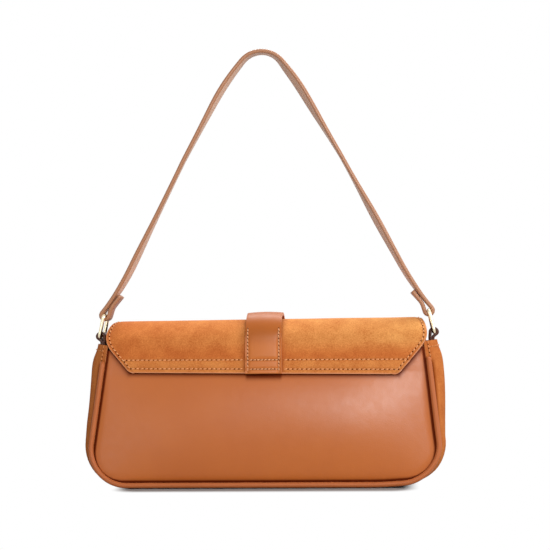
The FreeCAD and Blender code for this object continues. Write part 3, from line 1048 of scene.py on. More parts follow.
@dataclass
class Panel:
    """A crowned panel of smooth leather whose edge rolls down into the piped seam."""

    body: Body
    side: Side
    crown: float
    crown_top: float
    # Distance outside the flap's edge, which sets the painted shadow below it.
    flap_gap: Optional[Callable[[float, float], float]] = None
    thickness: float = 1.8
    edge_rounding: float = 0.4
    fullness: Pair = (3.0, 2.0)
    roll_width: float = 7.0
    roll_depth: float = 0.95
    swell: Waver = Waver(0.3, 58.0, 31.0)
    groove_inset: float = 1.5
    groove_reach: float = 0.6
    shadow_reach: float = 2.6
    columns: int = 161
    corner_rows: int = 17
    rows: int = 76

    def relief(self, u: float, v: float) -> float:
        """Height of the leather above the panel's plane.

        Args:
            u: Place along the width.
            v: Place up the slope.

        Returns:
            The height, outwards.
        """
        across = u / self.body.half_width(v)
        up = min(1.0, max(0.0, v / self.crown_top))
        dome = max(0.0, 1 - abs(across) ** self.fullness[0]) * max(0.0, 1 - abs(2 * up - 1) ** self.fullness[1])
        swell = self.crown + self.swell.at(Vector((u, v, 0)), self.side.value)
        inward = max(0.0, 1 - self.body.edge_distance(u, v) / self.roll_width)
        return dome * swell - self.roll_depth * inward * inward

    def shade(self, u: float, v: float) -> float:
        """How much painted shade the leather has: in the groove beside the piping, and a painted shadow close
        below the flap's edge.

        Args:
            u: Place along the width.
            v: Place up the slope.

        Returns:
            The painted shade, from 0 to 1.
        """
        groove = bell(max(0.0, self.body.edge_distance(u, v) - self.groove_inset), self.groove_reach)
        below = bell(self.flap_gap(u, v), self.shadow_reach) if self.flap_gap else 0.0
        return max(groove, below)

    def build(self) -> Piece:
        """Make the panel and put it in its node's place.

        Returns:
            The finished panel.
        """
        node = self.side.name.lower() + "_panel"
        grid: Grid = []
        shades = []
        for v, half in self.body.outline(0.0, self.body.panel_height, self.corner_rows, self.rows):
            places = [half * share for share in spread(self.columns)]
            grid.append([self.body.on_panel(self.side, u, v, self.relief(u, v)) for u in places])
            shades.extend(self.shade(u, v) for u in places)
        piece = sheet_from(
            node + "_leather",
            grid,
            PANEL_LEATHER,
            self.thickness,
            self.edge_rounding,
            EDGE_PAINT,
            shades,
            flipped=self.side is Side.FRONT,
        )
        return stand_in(piece, node)


@dataclass
class Piping:
    """A round leather welt round a panel's sides and bottom, its ends tucked into the seam."""

    body: Body
    side: Side
    radius: float = 2.0
    top_height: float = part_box("rear_piping")[1].z / MM
    tuck_length: float = 6.0
    tuck_depth: float = 0.7
    tuck_thinning: float = 0.15
    waver: Waver = Waver(0.12, 24.0, 7.0)
    lumps: Waver = Waver(0.05, 9.0, 3.0)
    corner_rows: int = 21
    spacing: float = 2.0

    def build(self) -> Piece:
        """Make the welt and put it in its node's place.

        Returns:
            The finished welt.
        """
        rows = self.body.outline(-self.radius, self.body.panel_v(self.top_height), self.corner_rows)
        half = [Vector((u, v, 0)) for v, u in reversed(rows)]
        flat = half + [Vector((-point.x, point.y, 0)) for point in reversed(half)]
        path = []
        radii = []
        for place, _ in along(flat, self.spacing):
            tuck = max(0.0, 1 - min((place - end).length for end in (flat[0], flat[-1])) / self.tuck_length)
            level = self.waver.at(place, self.side.value) - self.tuck_depth * tuck * tuck
            path.append(self.body.on_panel(self.side, place.x, place.y, level))
            radii.append(self.radius * (1 - self.tuck_thinning * tuck * tuck) + self.lumps.at(place))
        node = self.side.name.lower() + "_piping"
        piece = tube_from(node + "_welt", path, radii, PIPING_LEATHER, self.body.panel_out(self.side))
        return stand_in(piece, node)


@dataclass
class Gusset:
    """A suede end wall that swells out between the two panels and runs round the corner to the base."""

    body: Body
    end: End
    thickness: float = 1.4
    edge_rounding: float = 0.5
    seam_offset: float = 1.5
    swell: float = 11.0
    fullness: float = 2.35
    seam_clearance: float = 1.87
    piping_top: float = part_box("rear_piping")[1].z / MM
    released: float = 1.4
    release_span: Pair = (piping_top - 3, piping_top + 2)
    base_run: float = 14.0
    base_end_swell: float = 0.5
    base_end_lift: float = 0.3
    roll: float = 1.0
    roll_from: float = 0.9
    roll_span: Pair = (2.0, 20.0)
    hem_height: float = 5.0
    hem_rise: float = 0.45
    hem_step: float = 1.6
    hem_squareness: int = 8
    hem_pinch: float = 0.24
    hem_reach: float = 8.5
    wrinkle: Waver = Waver(0.35, 22.0, 11.0)
    wrinkle_span: Pair = (4.0, 30.0)
    shade_shares: Pair = (0.77, 0.88)
    shade_fade: float = 0.85
    fade_span: Pair = (piping_top - 5, piping_top - 1)
    side_swells: tuple[float, ...] = (1.04, 1.1, 1.02, 0.98, 0.95, 0.88)
    corner_swells: tuple[float, ...] = (0.88, 0.78, 0.58, 0.28, 0.0)
    columns: int = 33
    side_rows: int = 34
    corner_rows: int = 16
    base_rows: int = 5

    def stations(self) -> list[Station]:
        """Cross-sections from the top edge down and round the corner.

        Returns:
            Each one's seam point, outward direction, swell and offset from the panel's edge.
        """
        body = self.body
        low = body.base_rise + body.corner_radius
        floor_offset = body.base_rise - self.base_end_swell - self.base_end_lift
        found = []
        side_out = Vector((math.cos(body.slant), 0, math.sin(body.slant)))
        for row in range(self.side_rows):
            share = row / self.side_rows
            height = body.gusset_height + (low - body.gusset_height) * share
            point = Vector((body.half_width(body.panel_v(height)), 0, height))
            pinch = self.hem_pinch * bell(body.gusset_height - height, self.hem_reach)
            swell = self.swell * through(self.side_swells, share) * (1 - pinch)
            found.append((point, side_out, swell, self.seam_offset))
        for row in range(self.corner_rows + 1):
            share = row / self.corner_rows
            turn = body.slant - share * (body.slant + math.pi / 2)
            out = Vector((math.cos(turn), 0, math.sin(turn)))
            point = Vector((body.corner_u, 0, low)) + out * body.corner_radius
            swell = self.base_end_swell + (self.swell - self.base_end_swell) * through(self.corner_swells, share)
            found.append((point, out, swell, self.seam_offset + (floor_offset - self.seam_offset) * share))
        for row in range(1, self.base_rows + 1):
            point = Vector((body.corner_u - self.base_run * row / self.base_rows, 0, body.base_rise))
            found.append((point, Vector((0, 0, -1)), self.base_end_swell, floor_offset))
        return found

    def surface(self, station: Station, share: float) -> Vector:
        """Point on the outer face.

        Args:
            station: A cross-section, as stations gives it.
            share: Place across the depth, from -1 to 1.

        Returns:
            The point in the bag's frame.
        """
        point, out, swell, offset = station
        clearance = self.seam_clearance - self.released * smooth_step(point.z, *self.release_span)
        reach = self.body.plane_depth(point.z) - clearance
        rolled = self.roll * smooth_step(abs(share), self.roll_from, 1.0) * smooth_step(point.z, *self.roll_span)
        from_top = self.body.gusset_height - point.z
        hem = self.hem_rise * smooth_step(self.hem_height - from_top, 0.0, self.hem_step)
        hem *= 1 - share ** self.hem_squareness
        raised = offset + swell * (1 - abs(share) ** self.fullness) - rolled + hem
        uneven = self.wrinkle.at(Vector((point.x, share * reach, point.z)), self.end.value)
        place = point + out * (raised + uneven * (1 - share * share) * smooth_step(point.z, *self.wrinkle_span))
        return self.body.settle(Vector((self.end.value * place.x, share * reach, place.z)))

    def build(self) -> Piece:
        """Make the wall and put it in its node's place.

        Returns:
            The finished gusset.
        """
        node = self.end.name.lower() + "_gusset"
        shares = spread(self.columns)
        grid = [[self.surface(station, share) for share in shares] for station in self.stations()]
        shades = []
        # Painted shade on the suede beside the piped seams, faded out above the top of the piping.
        for row in grid:
            sewn = 1 - self.shade_fade * smooth_step(row[0].z, *self.fade_span)
            shades.extend(sewn * smooth_step(abs(share), *self.shade_shares) for share in shares)
        piece = sheet_from(
            node + "_suede",
            grid,
            GUSSET_SUEDE,
            self.thickness,
            self.edge_rounding,
            EDGE_PAINT,
            shades,
            flipped=self.end is End.RIGHT,
        )
        return stand_in(piece, node)


@dataclass
class Base:
    """The flat leather base, its long edges turned up a little into the piped seams."""

    body: Body
    edge_rounding: float = 0.4
    turn_up: float = 0.5
    turn_from: float = 0.93
    seam_shade: float = 0.7
    shade_from: float = 0.94
    rows: int = 21
    columns: int = 61

    def build(self) -> Piece:
        """Make the base and put it in its node's place.

        Returns:
            The finished base.
        """
        low, high = box_mm("base_panel")
        grid: Grid = []
        shades = []
        for across in spread(self.rows):
            lift = self.turn_up * smooth_step(abs(across), self.turn_from, 1.0)
            row = [Vector((high.x * share, high.y * across, low.z + lift)) for share in spread(self.columns)]
            grid.append([self.body.settle(place) for place in row])
            # Painted shade along the long edges, where they turn up into the piped seams.
            shades += [self.seam_shade * smooth_step(abs(across), self.shade_from, 1.0)] * self.columns
        thickness = high.z - low.z
        piece = sheet_from(
            "base_leather", grid, PANEL_LEATHER, thickness, self.edge_rounding, EDGE_PAINT, shades, flipped=True
        )
        return stand_in(piece, "base_panel")


@dataclass
class Lining:
    """The cotton lining inside: panels, end walls, base and a slip pocket on the rear."""

    body: Body
    level: float = -3.22
    thickness: float = 0.6
    edge_rounding: float = 0.2
    margin: float = 1.6
    turn_in: float = 7.0
    glued_level: float = -1.9
    wrinkle: Waver = Waver(0.15, 30.0)
    wrinkle_layer: float = 9.0
    gusset_gap: float = 2.0
    gusset_share: float = 0.925
    base_wrinkle: Waver = Waver(0.12, 25.0)
    base_rows: int = 13
    pocket_thickness: float = 0.7
    pocket_gap: float = 0.12
    pocket_lift: float = 0.5
    pocket_hem: float = 5.0
    hem_rise: float = 0.7
    hem_step: float = 1.2
    pocket_rows: int = 31
    columns: int = 61

    def panel_relief(self, crown: float, crown_top: float, u: float, v: float) -> float:
        """Height of the lining above a panel's plane; its top edge is turned out to the leather and glued.

        Args:
            crown: How far the panel swells.
            crown_top: Place up the slope where the swelling ends.
            u: Place along the width.
            v: Place up the slope.

        Returns:
            The height, outwards.
        """
        across = u / self.body.half_width(v)
        up = min(1.0, max(0.0, v / crown_top))
        dome = max(0.0, 1 - across * across) * 4 * up * (1 - up)
        top = self.body.panel_height - self.margin
        glued = smooth_step(v, top - self.turn_in, top)
        wrinkle = self.wrinkle.at(Vector((u, v, self.wrinkle_layer)))
        return self.level + crown * dome + (self.glued_level - self.level) * glued + wrinkle

    def cloth(self, node: str, grid: Grid, thickness: float, flipped: bool = False) -> Piece:
        """Make one piece of the lining and put it in its node's place.

        Args:
            node: The node that it stands for.
            grid: Points of its outer face.
            thickness: Its thickness.
            flipped: Whether the grid runs the other way round.

        Returns:
            The finished piece.
        """
        piece = sheet_from(node + "_cotton", grid, LINING, thickness, self.edge_rounding, flipped=flipped)
        return stand_in(piece, node)

    def panel(self, side: Side, crown: float, low_height: float) -> Piece:
        """Make the lining of one panel.

        Args:
            side: Which panel.
            crown: How far the panel swells.
            low_height: Height of the flap's edge, where the swelling ends.

        Returns:
            The finished lining.
        """
        crown_top = self.body.panel_v(low_height)
        grid: Grid = []
        for v, half in self.body.outline(self.margin, self.body.panel_height - self.margin):
            places = [half * share for share in spread(self.columns)]
            reliefs = [self.panel_relief(crown, crown_top, u, v) for u in places]
            grid.append([self.body.on_panel(side, u, v, relief) for u, relief in zip(places, reliefs)])
        return self.cloth(side.name.lower() + "_lining", grid, self.thickness, flipped=side is Side.FRONT)

    def end_wall(self, gusset: Gusset) -> Piece:
        """Make the lining of an end wall, inside its gusset.

        Args:
            gusset: The gusset that it lines.

        Returns:
            The finished lining.
        """
        node = gusset.end.name.lower() + "_gusset_lining"
        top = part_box(node)[1].z / MM
        grid: Grid = []
        for point, out, swell, offset in gusset.stations():
            if point.z <= top:
                inner = (point - out * self.gusset_gap, out, swell, offset)
                row = [gusset.surface(inner, share) for share in spread(gusset.columns)]
                grid.append([Vector((place.x, place.y * self.gusset_share, place.z)) for place in row])
        return self.cloth(node, grid, self.thickness, flipped=gusset.end is End.RIGHT)

    def base(self) -> Piece:
        """Make the lining of the base, which lies on its board.

        Returns:
            The finished lining.
        """
        low, high = box_mm("base_lining")
        grid: Grid = []
        for row in range(self.base_rows):
            y = low.y + (high.y - low.y) * row / (self.base_rows - 1)
            flat = [Vector((high.x * share, y, 0)) for share in spread(self.columns)]
            grid.append([Vector((spot.x, spot.y, high.z + self.base_wrinkle.at(spot))) for spot in flat])
        return self.cloth("base_lining", grid, high.z - low.z)

    def pocket(self) -> Piece:
        """Make the slip pocket, a flat patch on the rear lining with a rolled hem along its top.

        Returns:
            The finished pocket.
        """
        low, high = box_mm("slip_pocket")
        low_v, high_v = self.body.panel_v(low.z + self.pocket_lift), self.body.panel_v(high.z)
        crown_top = self.body.panel_v(self.body.flap_rear_low)
        inward = self.thickness + self.pocket_gap + self.pocket_thickness
        places = [high.x * share for share in spread(self.columns)]
        grid: Grid = []
        for row in range(self.pocket_rows):
            v = high_v + (low_v - high_v) * row / (self.pocket_rows - 1)
            hem = self.hem_rise * smooth_step(self.pocket_hem - (high_v - v), 0.0, self.hem_step)
            reliefs = [self.panel_relief(self.body.rear_crown, crown_top, u, v) - inward - hem for u in places]
            grid.append([self.body.on_panel(Side.REAR, u, v, w) for u, w in zip(places, reliefs)])
        return self.cloth("slip_pocket", grid, self.pocket_thickness)

    def build(self, gussets: Sequence[Gusset]) -> list[Piece]:
        """Make the whole lining.

        Args:
            gussets: The two end walls.

        Returns:
            Its pieces.
        """
        return [
            self.panel(Side.REAR, self.body.rear_crown, self.body.flap_rear_low),
            self.panel(Side.FRONT, self.body.front_crown, self.body.flap_front_low),
            *(self.end_wall(gusset) for gusset in gussets),
            self.base(),
            self.pocket(),
        ]


@dataclass(frozen=True)
class FoldLine:
    """Line of a layer in depth and height: up the rear slope, over the fold and down the front slope."""

    body: Body
    level: float
    lift: float
    rear_low: float
    front_low: float

    @property
    def radius(self) -> float:
        """Radius of the layer's outer face over the fold."""
        return self.body.fold_radius - self.lift * math.sin(self.body.lean) + self.level

    @property
    def slope_top(self) -> float:
        """Height at which the slopes turn into the fold."""
        return self.body.mouth_height + self.lift + self.radius * math.sin(self.body.lean)

    @property
    def rear_run(self) -> float:
        """Length of the rear slope."""
        return (self.slope_top - self.rear_low) / math.cos(self.body.lean)

    @property
    def fold_run(self) -> float:
        """Length over the fold."""
        return self.radius * (math.pi - 2 * self.body.lean)

    @property
    def length(self) -> float:
        """Whole length from the rear edge to the front edge."""
        return self.rear_run + self.fold_run + (self.slope_top - self.front_low) / math.cos(self.body.lean)

    def at(self, run: float) -> Ray:
        """Point on the line and the outward direction there, both in the plane across the bag.

        Args:
            run: Distance from the rear edge.

        Returns:
            The point and the direction.
        """
        lean = self.body.lean
        turn = math.pi - lean - (run - self.rear_run) / self.radius
        past = 0.0
        if run < self.rear_run:
            turn, past = math.pi - lean, self.rear_run - run
        elif run > self.rear_run + self.fold_run:
            turn, past = lean, run - self.rear_run - self.fold_run
        out = Vector((0, math.cos(turn), math.sin(turn)))
        centre = Vector((0, self.body.fold_axis_depth, self.body.mouth_height + self.lift))
        down = Vector((0, math.copysign(math.sin(lean), out.y), -math.cos(lean)))
        return centre + out * self.radius + down * past, out

    def run_at(self, height: float) -> float:
        """Distance from the rear edge to a height on the rear slope."""
        return (height - self.rear_low) / math.cos(self.body.lean)


@dataclass
class Flap:
    """The suede flap with its leather lining and tab: sewn to the rear panel, over the top and loose in front."""

    body: Body
    level: float = 2.64
    thickness: float = 1.6
    edge_rounding: float = 0.35
    widest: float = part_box("flap_fold")[1].x / MM
    widest_height: float = 112.0
    ridge_inset: float = 3.4
    droop: float = 1.8
    droop_reach: float = 11.0
    overhangs: Pair = (1.5, 3.2)
    chamfer_runs: Pair = (18.6, 21.8)
    chamfer_height: float = 107.5
    front_chamfer_height: float = 74.0
    crooked: float = 1.9
    bend: float = 6.0
    corner: float = 3.0
    corner_cut: float = 0.6
    row_heights: Pair = (87.4, 94.2)
    row_fullness: float = 0.4
    fold_fullness: float = 0.8
    fold_reach: float = 14.0
    edge_inset: float = 2.5
    edge_ease: float = 9.0
    pinch: float = 0.3
    row_pinch_reach: float = 0.8
    edge_pinch_reach: float = 0.9
    tab_ease: Pair = (1.0, 12.0)
    waver: Waver = Waver(0.22, 32.0, 5.0)
    seam_shade: float = 0.3
    seam_reach: float = 0.9
    tab_shade: float = 0.8
    tab_shade_reach: float = 1.3
    # Painted sheen: lighter gold over the fold, more towards the right end; plus a lighter gold band along the
    # rear edge.
    painted_sheen_fold: Pair = (0.48, 0.42)
    painted_sheen_span: Pair = (-9.0, 6.0)
    golden_edge: float = 0.36
    golden_edge_span: Pair = (9.0, 13.0)
    front_edge: float = 8.0
    columns: int = 107
    lining_level: float = 0.92
    lining_thickness: float = 0.8
    lining_rounding: float = 0.2
    lining_margin: float = 1.2
    lining_spacings: Pair = (1.5, 2.0)
    lining_columns: int = 61
    tab_width: float = 27.0
    tab_thickness: float = 2.0
    tab_rounding: float = 0.8
    tab_level: float = 4.76
    tab_lift: float = 3.2
    tab_inset: float = 1.9
    tab_shadow: float = 1.8
    tab_pads: Pair = (0.5, 0.7)
    tab_pad_start: float = 2.0
    tab_pinch: float = 0.42
    tab_side_pinch: float = 1.5
    tab_side_reach: float = 1.25
    tab_row_reach: float = 0.9
    tab_over: Pair = (1.0, 7.0)
    # Painted shade over the tab's fold and front, rising over this distance either side of where the rear slope
    # meets the fold.
    tab_fold_shade: float = 0.3
    tab_fold_shade_reach: float = 6.0
    tab_seam_shade: float = 0.25
    tab_seam_reaches: Pair = (0.8, 0.7)
    tab_spacings: Pair = (0.6, 1.4)
    tab_columns: int = 31

    def layer(self, level: float, lift: float = 0.0, margin: float = 0.0) -> FoldLine:
        """Line of a layer's outer face, drawn in by a margin at both edges."""
        rear_low, front_low = self.body.flap_rear_low + margin, self.body.flap_front_low + margin
        return FoldLine(self.body, level, lift, rear_low, front_low)

    @property
    def line(self) -> FoldLine:
        """Line of the suede's outer face."""
        return self.layer(self.level)

    @property
    def tab_line(self) -> FoldLine:
        """Line of the tab's outer face."""
        return self.layer(self.tab_level, self.tab_lift)

    def row_runs(self, line: FoldLine) -> list[float]:
        """Distances of the two rows of stitches from a layer's rear edge."""
        return [line.run_at(height) for height in self.row_heights]

    def reach(self, x: float) -> Pair:
        """Half width at the widest of the end that a place lies in, and how far its chamfers run in."""
        end = 1 if x > 0 else 0
        return self.widest + self.overhangs[end], self.chamfer_runs[end]

    def hang(self, x: float) -> float:
        """How far the rear edge hangs down at a place, as the flap lies a little askew."""
        return self.crooked * x / self.widest

    def rear_gap(self, u: float, v: float) -> float:
        """How far a place on the rear panel lies outside the flap's rear edge, for the painted shadow below it.

        Args:
            u: Place along the width.
            v: Place up the panel's slope.

        Returns:
            The distance; less than 0 is under the flap.
        """
        # Under the tab the painted shadow reaches further down.
        under_tab = 1 - smooth_step(abs(u), self.tab_width / 2 - 1, self.tab_width / 2 + 1)
        low = self.body.flap_rear_low - self.hang(u) - self.tab_shadow * under_tab
        height = self.body.on_panel(Side.REAR, u, v, 0).z
        widest, run = self.reach(u)
        slope = run / (self.chamfer_height - low)
        beside = (abs(u) - widest + run - slope * (height - low)) / math.hypot(1, slope)
        return max(low - height, beside)

    def half_width(self, line: FoldLine, run: float, x: float) -> float:
        """Half width of the flap at a distance from its rear edge.

        Args:
            line: The layer's line.
            run: Distance from the rear edge.
            x: A place in the end that is meant, left or right.

        Returns:
            The half width, with its corners rounded.
        """
        point, _ = line.at(run)
        front = run > line.rear_run + line.fold_run / 2
        low = line.front_low if front else line.rear_low
        chamfer_top = self.front_chamfer_height if front else self.chamfer_height
        widest, chamfer_run = self.reach(x)
        chamfer = widest - chamfer_run + chamfer_run * (point.z - low) / (chamfer_top - low)
        top = self.body.mouth_height + line.radius
        over = max(0.0, point.z - self.widest_height) / (top - self.widest_height)
        half = soft_min(chamfer, widest - self.ridge_inset * over ** 3, self.bend)
        from_end = min(run, line.length - run)
        if from_end < self.corner:
            half -= self.corner * self.corner_cut * (1 - math.sqrt(1 - (1 - from_end / self.corner) ** 2))
        return half

    def places(self, line: FoldLine, run: float, columns: int, inset: float = 0.0) -> list[float]:
        """Places of the mesh points along the width at a distance from the rear edge."""
        left, right = (self.half_width(line, run, x) - inset for x in (-1, 1))
        return [(right if share > 0 else left) * share for share in spread(columns)]

    def point_at(self, line: FoldLine, x: float, run: float) -> Ray:
        """Point of a layer, with the rear edge hanging askew.

        Args:
            line: The layer's line.
            x: Place along the width.
            run: Distance from the rear edge.

        Returns:
            The point and the outward direction there.
        """
        point, out = line.at(run - self.hang(x) * max(0.0, 1 - run / line.rear_run))
        near_end = max(0.0, 1 - (self.reach(x)[0] - abs(x)) / self.droop_reach)
        over = max(0.0, point.z - self.body.mouth_height) / line.radius
        return Vector((x, point.y, point.z - self.droop * near_end * near_end * over)), out

    def relief(self, x: float, run: float) -> float:
        """How far the suede stands off its line: pinched along the stitching and full between.

        Args:
            x: Place along the width.
            run: Distance from the rear edge.

        Returns:
            The height, outwards.
        """
        line = self.line
        low_run, high_run = self.row_runs(line)
        apart = smooth_step(abs(x), *(self.tab_width / 2 + ease for ease in self.tab_ease))
        full = line.rear_run + self.fold_reach
        raised = 0.0
        if low_run < run < high_run:
            raised = self.row_fullness * math.sin(math.pi * (run - low_run) / (high_run - low_run))
        elif high_run < run < full:
            raised = self.fold_fullness * math.sin(math.pi * (run - high_run) / (full - high_run))
        pinch = sum(bell(run - row, self.row_pinch_reach) for row in (low_run, high_run))
        from_edge = self.half_width(line, run, x) - abs(x)
        raised *= smooth_step(from_edge, self.edge_inset, self.edge_inset + self.edge_ease)
        pinch += bell(from_edge - self.edge_inset, self.edge_pinch_reach)
        return apart * (raised + self.waver.at(Vector((x, run, 0)))) - self.pinch * pinch * apart

    def surface(self, x: float, run: float) -> Ray:
        """Point on the suede and the outward direction there."""
        point, out = self.point_at(self.line, x, run)
        return point + out * self.relief(x, run), out

    def tab_surface(self, x: float, run: float) -> Ray:
        """Point on the tab: padded in the middle, pinched along its stitches except over the fold.

        Args:
            x: Place along the width.
            run: Distance from the rear edge.

        Returns:
            The point and the outward direction there.
        """
        line = self.tab_line
        point, out = line.at(run)
        share = 2 * x / self.tab_width
        from_edge = self.tab_width / 2 - abs(x)
        before, after = self.tab_over
        fold_end = line.rear_run + line.fold_run
        over = smooth_step(run, line.rear_run - before, line.rear_run + after)
        over *= 1 - smooth_step(run, fold_end - after, fold_end + before)
        pinch = self.tab_side_pinch * (1 - over) * bell(from_edge - self.tab_inset, self.tab_side_reach)
        rows = self.row_runs(line)
        pinch += sum(bell(run - row, self.tab_row_reach) for row in rows)
        padded = self.tab_pads[int(run > rows[1] + self.tab_pad_start)]
        raised = padded * (1 - share * share) - self.tab_pinch * pinch
        return Vector((x, 0, 0)) + point + out * raised, out

    def runs(self, line: FoldLine, fine: float = 0.75, coarse: float = 2.0) -> list[float]:
        """Distances of the mesh rows from the rear edge, closer where there is stitching.

        Args:
            line: The layer's line.
            fine: Spacing on the rear slope and at the front edge.
            coarse: Spacing elsewhere.

        Returns:
            The distances.
        """
        found = [0.0]
        while found[-1] < line.length:
            close = found[-1] < line.rear_run or found[-1] > line.length - self.front_edge
            found.append(found[-1] + (fine if close else coarse))
        return found[:-1] + [line.length] if line.length - found[-2] > fine / 2 else found[:-2] + [line.length]

    def bend_over(self, piece: Piece) -> Piece:
        """Bake a piece's placement into its mesh."""
        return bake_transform(piece)

    def painted_sheen_gold(self, line: FoldLine, x: float, run: float) -> float:
        """How much lighter gold the nap is painted: painted sheen over the fold, most at its right end, and a
        lighter band along the rear edge.

        Args:
            line: The layer's line.
            x: Place along the width.
            run: Distance from the rear edge.

        Returns:
            The share, from 0 to 1.
        """
        even, rightwards = self.painted_sheen_fold
        fold = smooth_step(run, *(line.rear_run + span for span in self.painted_sheen_span))
        edge = self.golden_edge * (1 - smooth_step(run, *self.golden_edge_span))
        return fold * (even + rightwards * x / self.widest) + edge

    def build_suede(self) -> Piece:
        """Make the suede.

        Returns:
            The finished flap.
        """
        line = self.line
        runs = self.runs(line)
        grid: Grid = []
        shades = []
        painted_sheen_gold = []
        for run in runs:
            places = self.places(line, run, self.columns)
            grid.append([self.surface(x, run)[0] for x in places])
            # Painted shade along the stitch rows and the edge row, and a painted shadow of the raised tab on the
            # suede beside it.
            sewn = max(bell(run - row, self.seam_reach) for row in self.row_runs(line))
            for x in places:
                edge = bell(self.half_width(line, run, x) - abs(x) - self.edge_inset, self.seam_reach)
                beside_tab = math.exp(-max(0.0, abs(x) - self.tab_width / 2) / self.tab_shade_reach)
                shades.append(max(self.seam_shade * max(sewn, edge), self.tab_shade * beside_tab))
            painted_sheen_gold.extend(self.painted_sheen_gold(line, x, run) for x in places)
        piece = sheet_from(
            "flap_suede",
            grid,
            FLAP_SUEDE,
            self.thickness,
            self.edge_rounding,
            EDGE_PAINT,
            shades,
            brushed=painted_sheen_gold,
            lapped=True,
        )
        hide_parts("flap_rear", "flap_fold", "flap_front")
        area = sum(
            (self.half_width(line, first, x) + self.half_width(line, second, x)) / 2 * (second - first)
            for first, second in zip(runs, runs[1:])
            for x in (-1, 1)
        )
        return self.bend_over(piece)

    def build_lining(self) -> Piece:
        """Make the leather lining under the suede.

        Returns:
            The finished lining.
        """
        line = self.layer(self.lining_level, margin=self.lining_margin)
        grid: Grid = []
        for run in self.runs(line, *self.lining_spacings):
            places = self.places(line, run, self.lining_columns, self.lining_margin)
            grid.append([self.point_at(line, x, run)[0] for x in places])
        thickness, rounding = self.lining_thickness, self.lining_rounding
        piece = sheet_from("flap_lining_leather", grid, FLAP_LINING_LEATHER, thickness, rounding, EDGE_PAINT)
        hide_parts("flap_lining_rear", "flap_lining_fold", "flap_lining_front")
        return self.bend_over(piece)

    def build_tab(self) -> Piece:
        """Make the tab that is sewn along the middle of the flap and arched over the fold.

        Returns:
            The finished tab.
        """
        line = self.tab_line
        row_reach, edge_reach = self.tab_seam_reaches
        places = [self.tab_width / 2 * share for share in spread(self.tab_columns)]
        edges = [bell(self.tab_width / 2 - abs(x) - self.tab_inset, edge_reach) for x in places]
        before, after = line.rear_run - self.tab_fold_shade_reach, line.rear_run + self.tab_fold_shade_reach
        grid: Grid = []
        shades = []
        for run in self.runs(line, *self.tab_spacings):
            grid.append([self.tab_surface(x, run)[0] for x in places])
            sewn = max(bell(run - row, row_reach) for row in self.row_runs(line))
            # Painted shade from the top of the rear slope over the fold and front, and along the stitching.
            fold_shade = self.tab_fold_shade * smooth_step(run, before, after)
            shades.extend(max(fold_shade, self.tab_seam_shade * max(sewn, edge)) for edge in edges)
        piece = sheet_from(
            "tab_leather", grid, TAB_LEATHER, self.tab_thickness, self.tab_rounding, EDGE_PAINT, shades
        )
        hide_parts("tab_rear", "tab_fold", "tab_front")
        return self.bend_over(piece)

    def build(self) -> list[Piece]:
        """Make the suede, its lining and the tab."""
        return [self.build_suede(), self.build_lining(), self.build_tab()]


@dataclass(frozen=True)
class Twist:
    """A stretch of the handle that is turned to show its inner face."""

    end: End
    height: float
    reach: float
    degrees: float


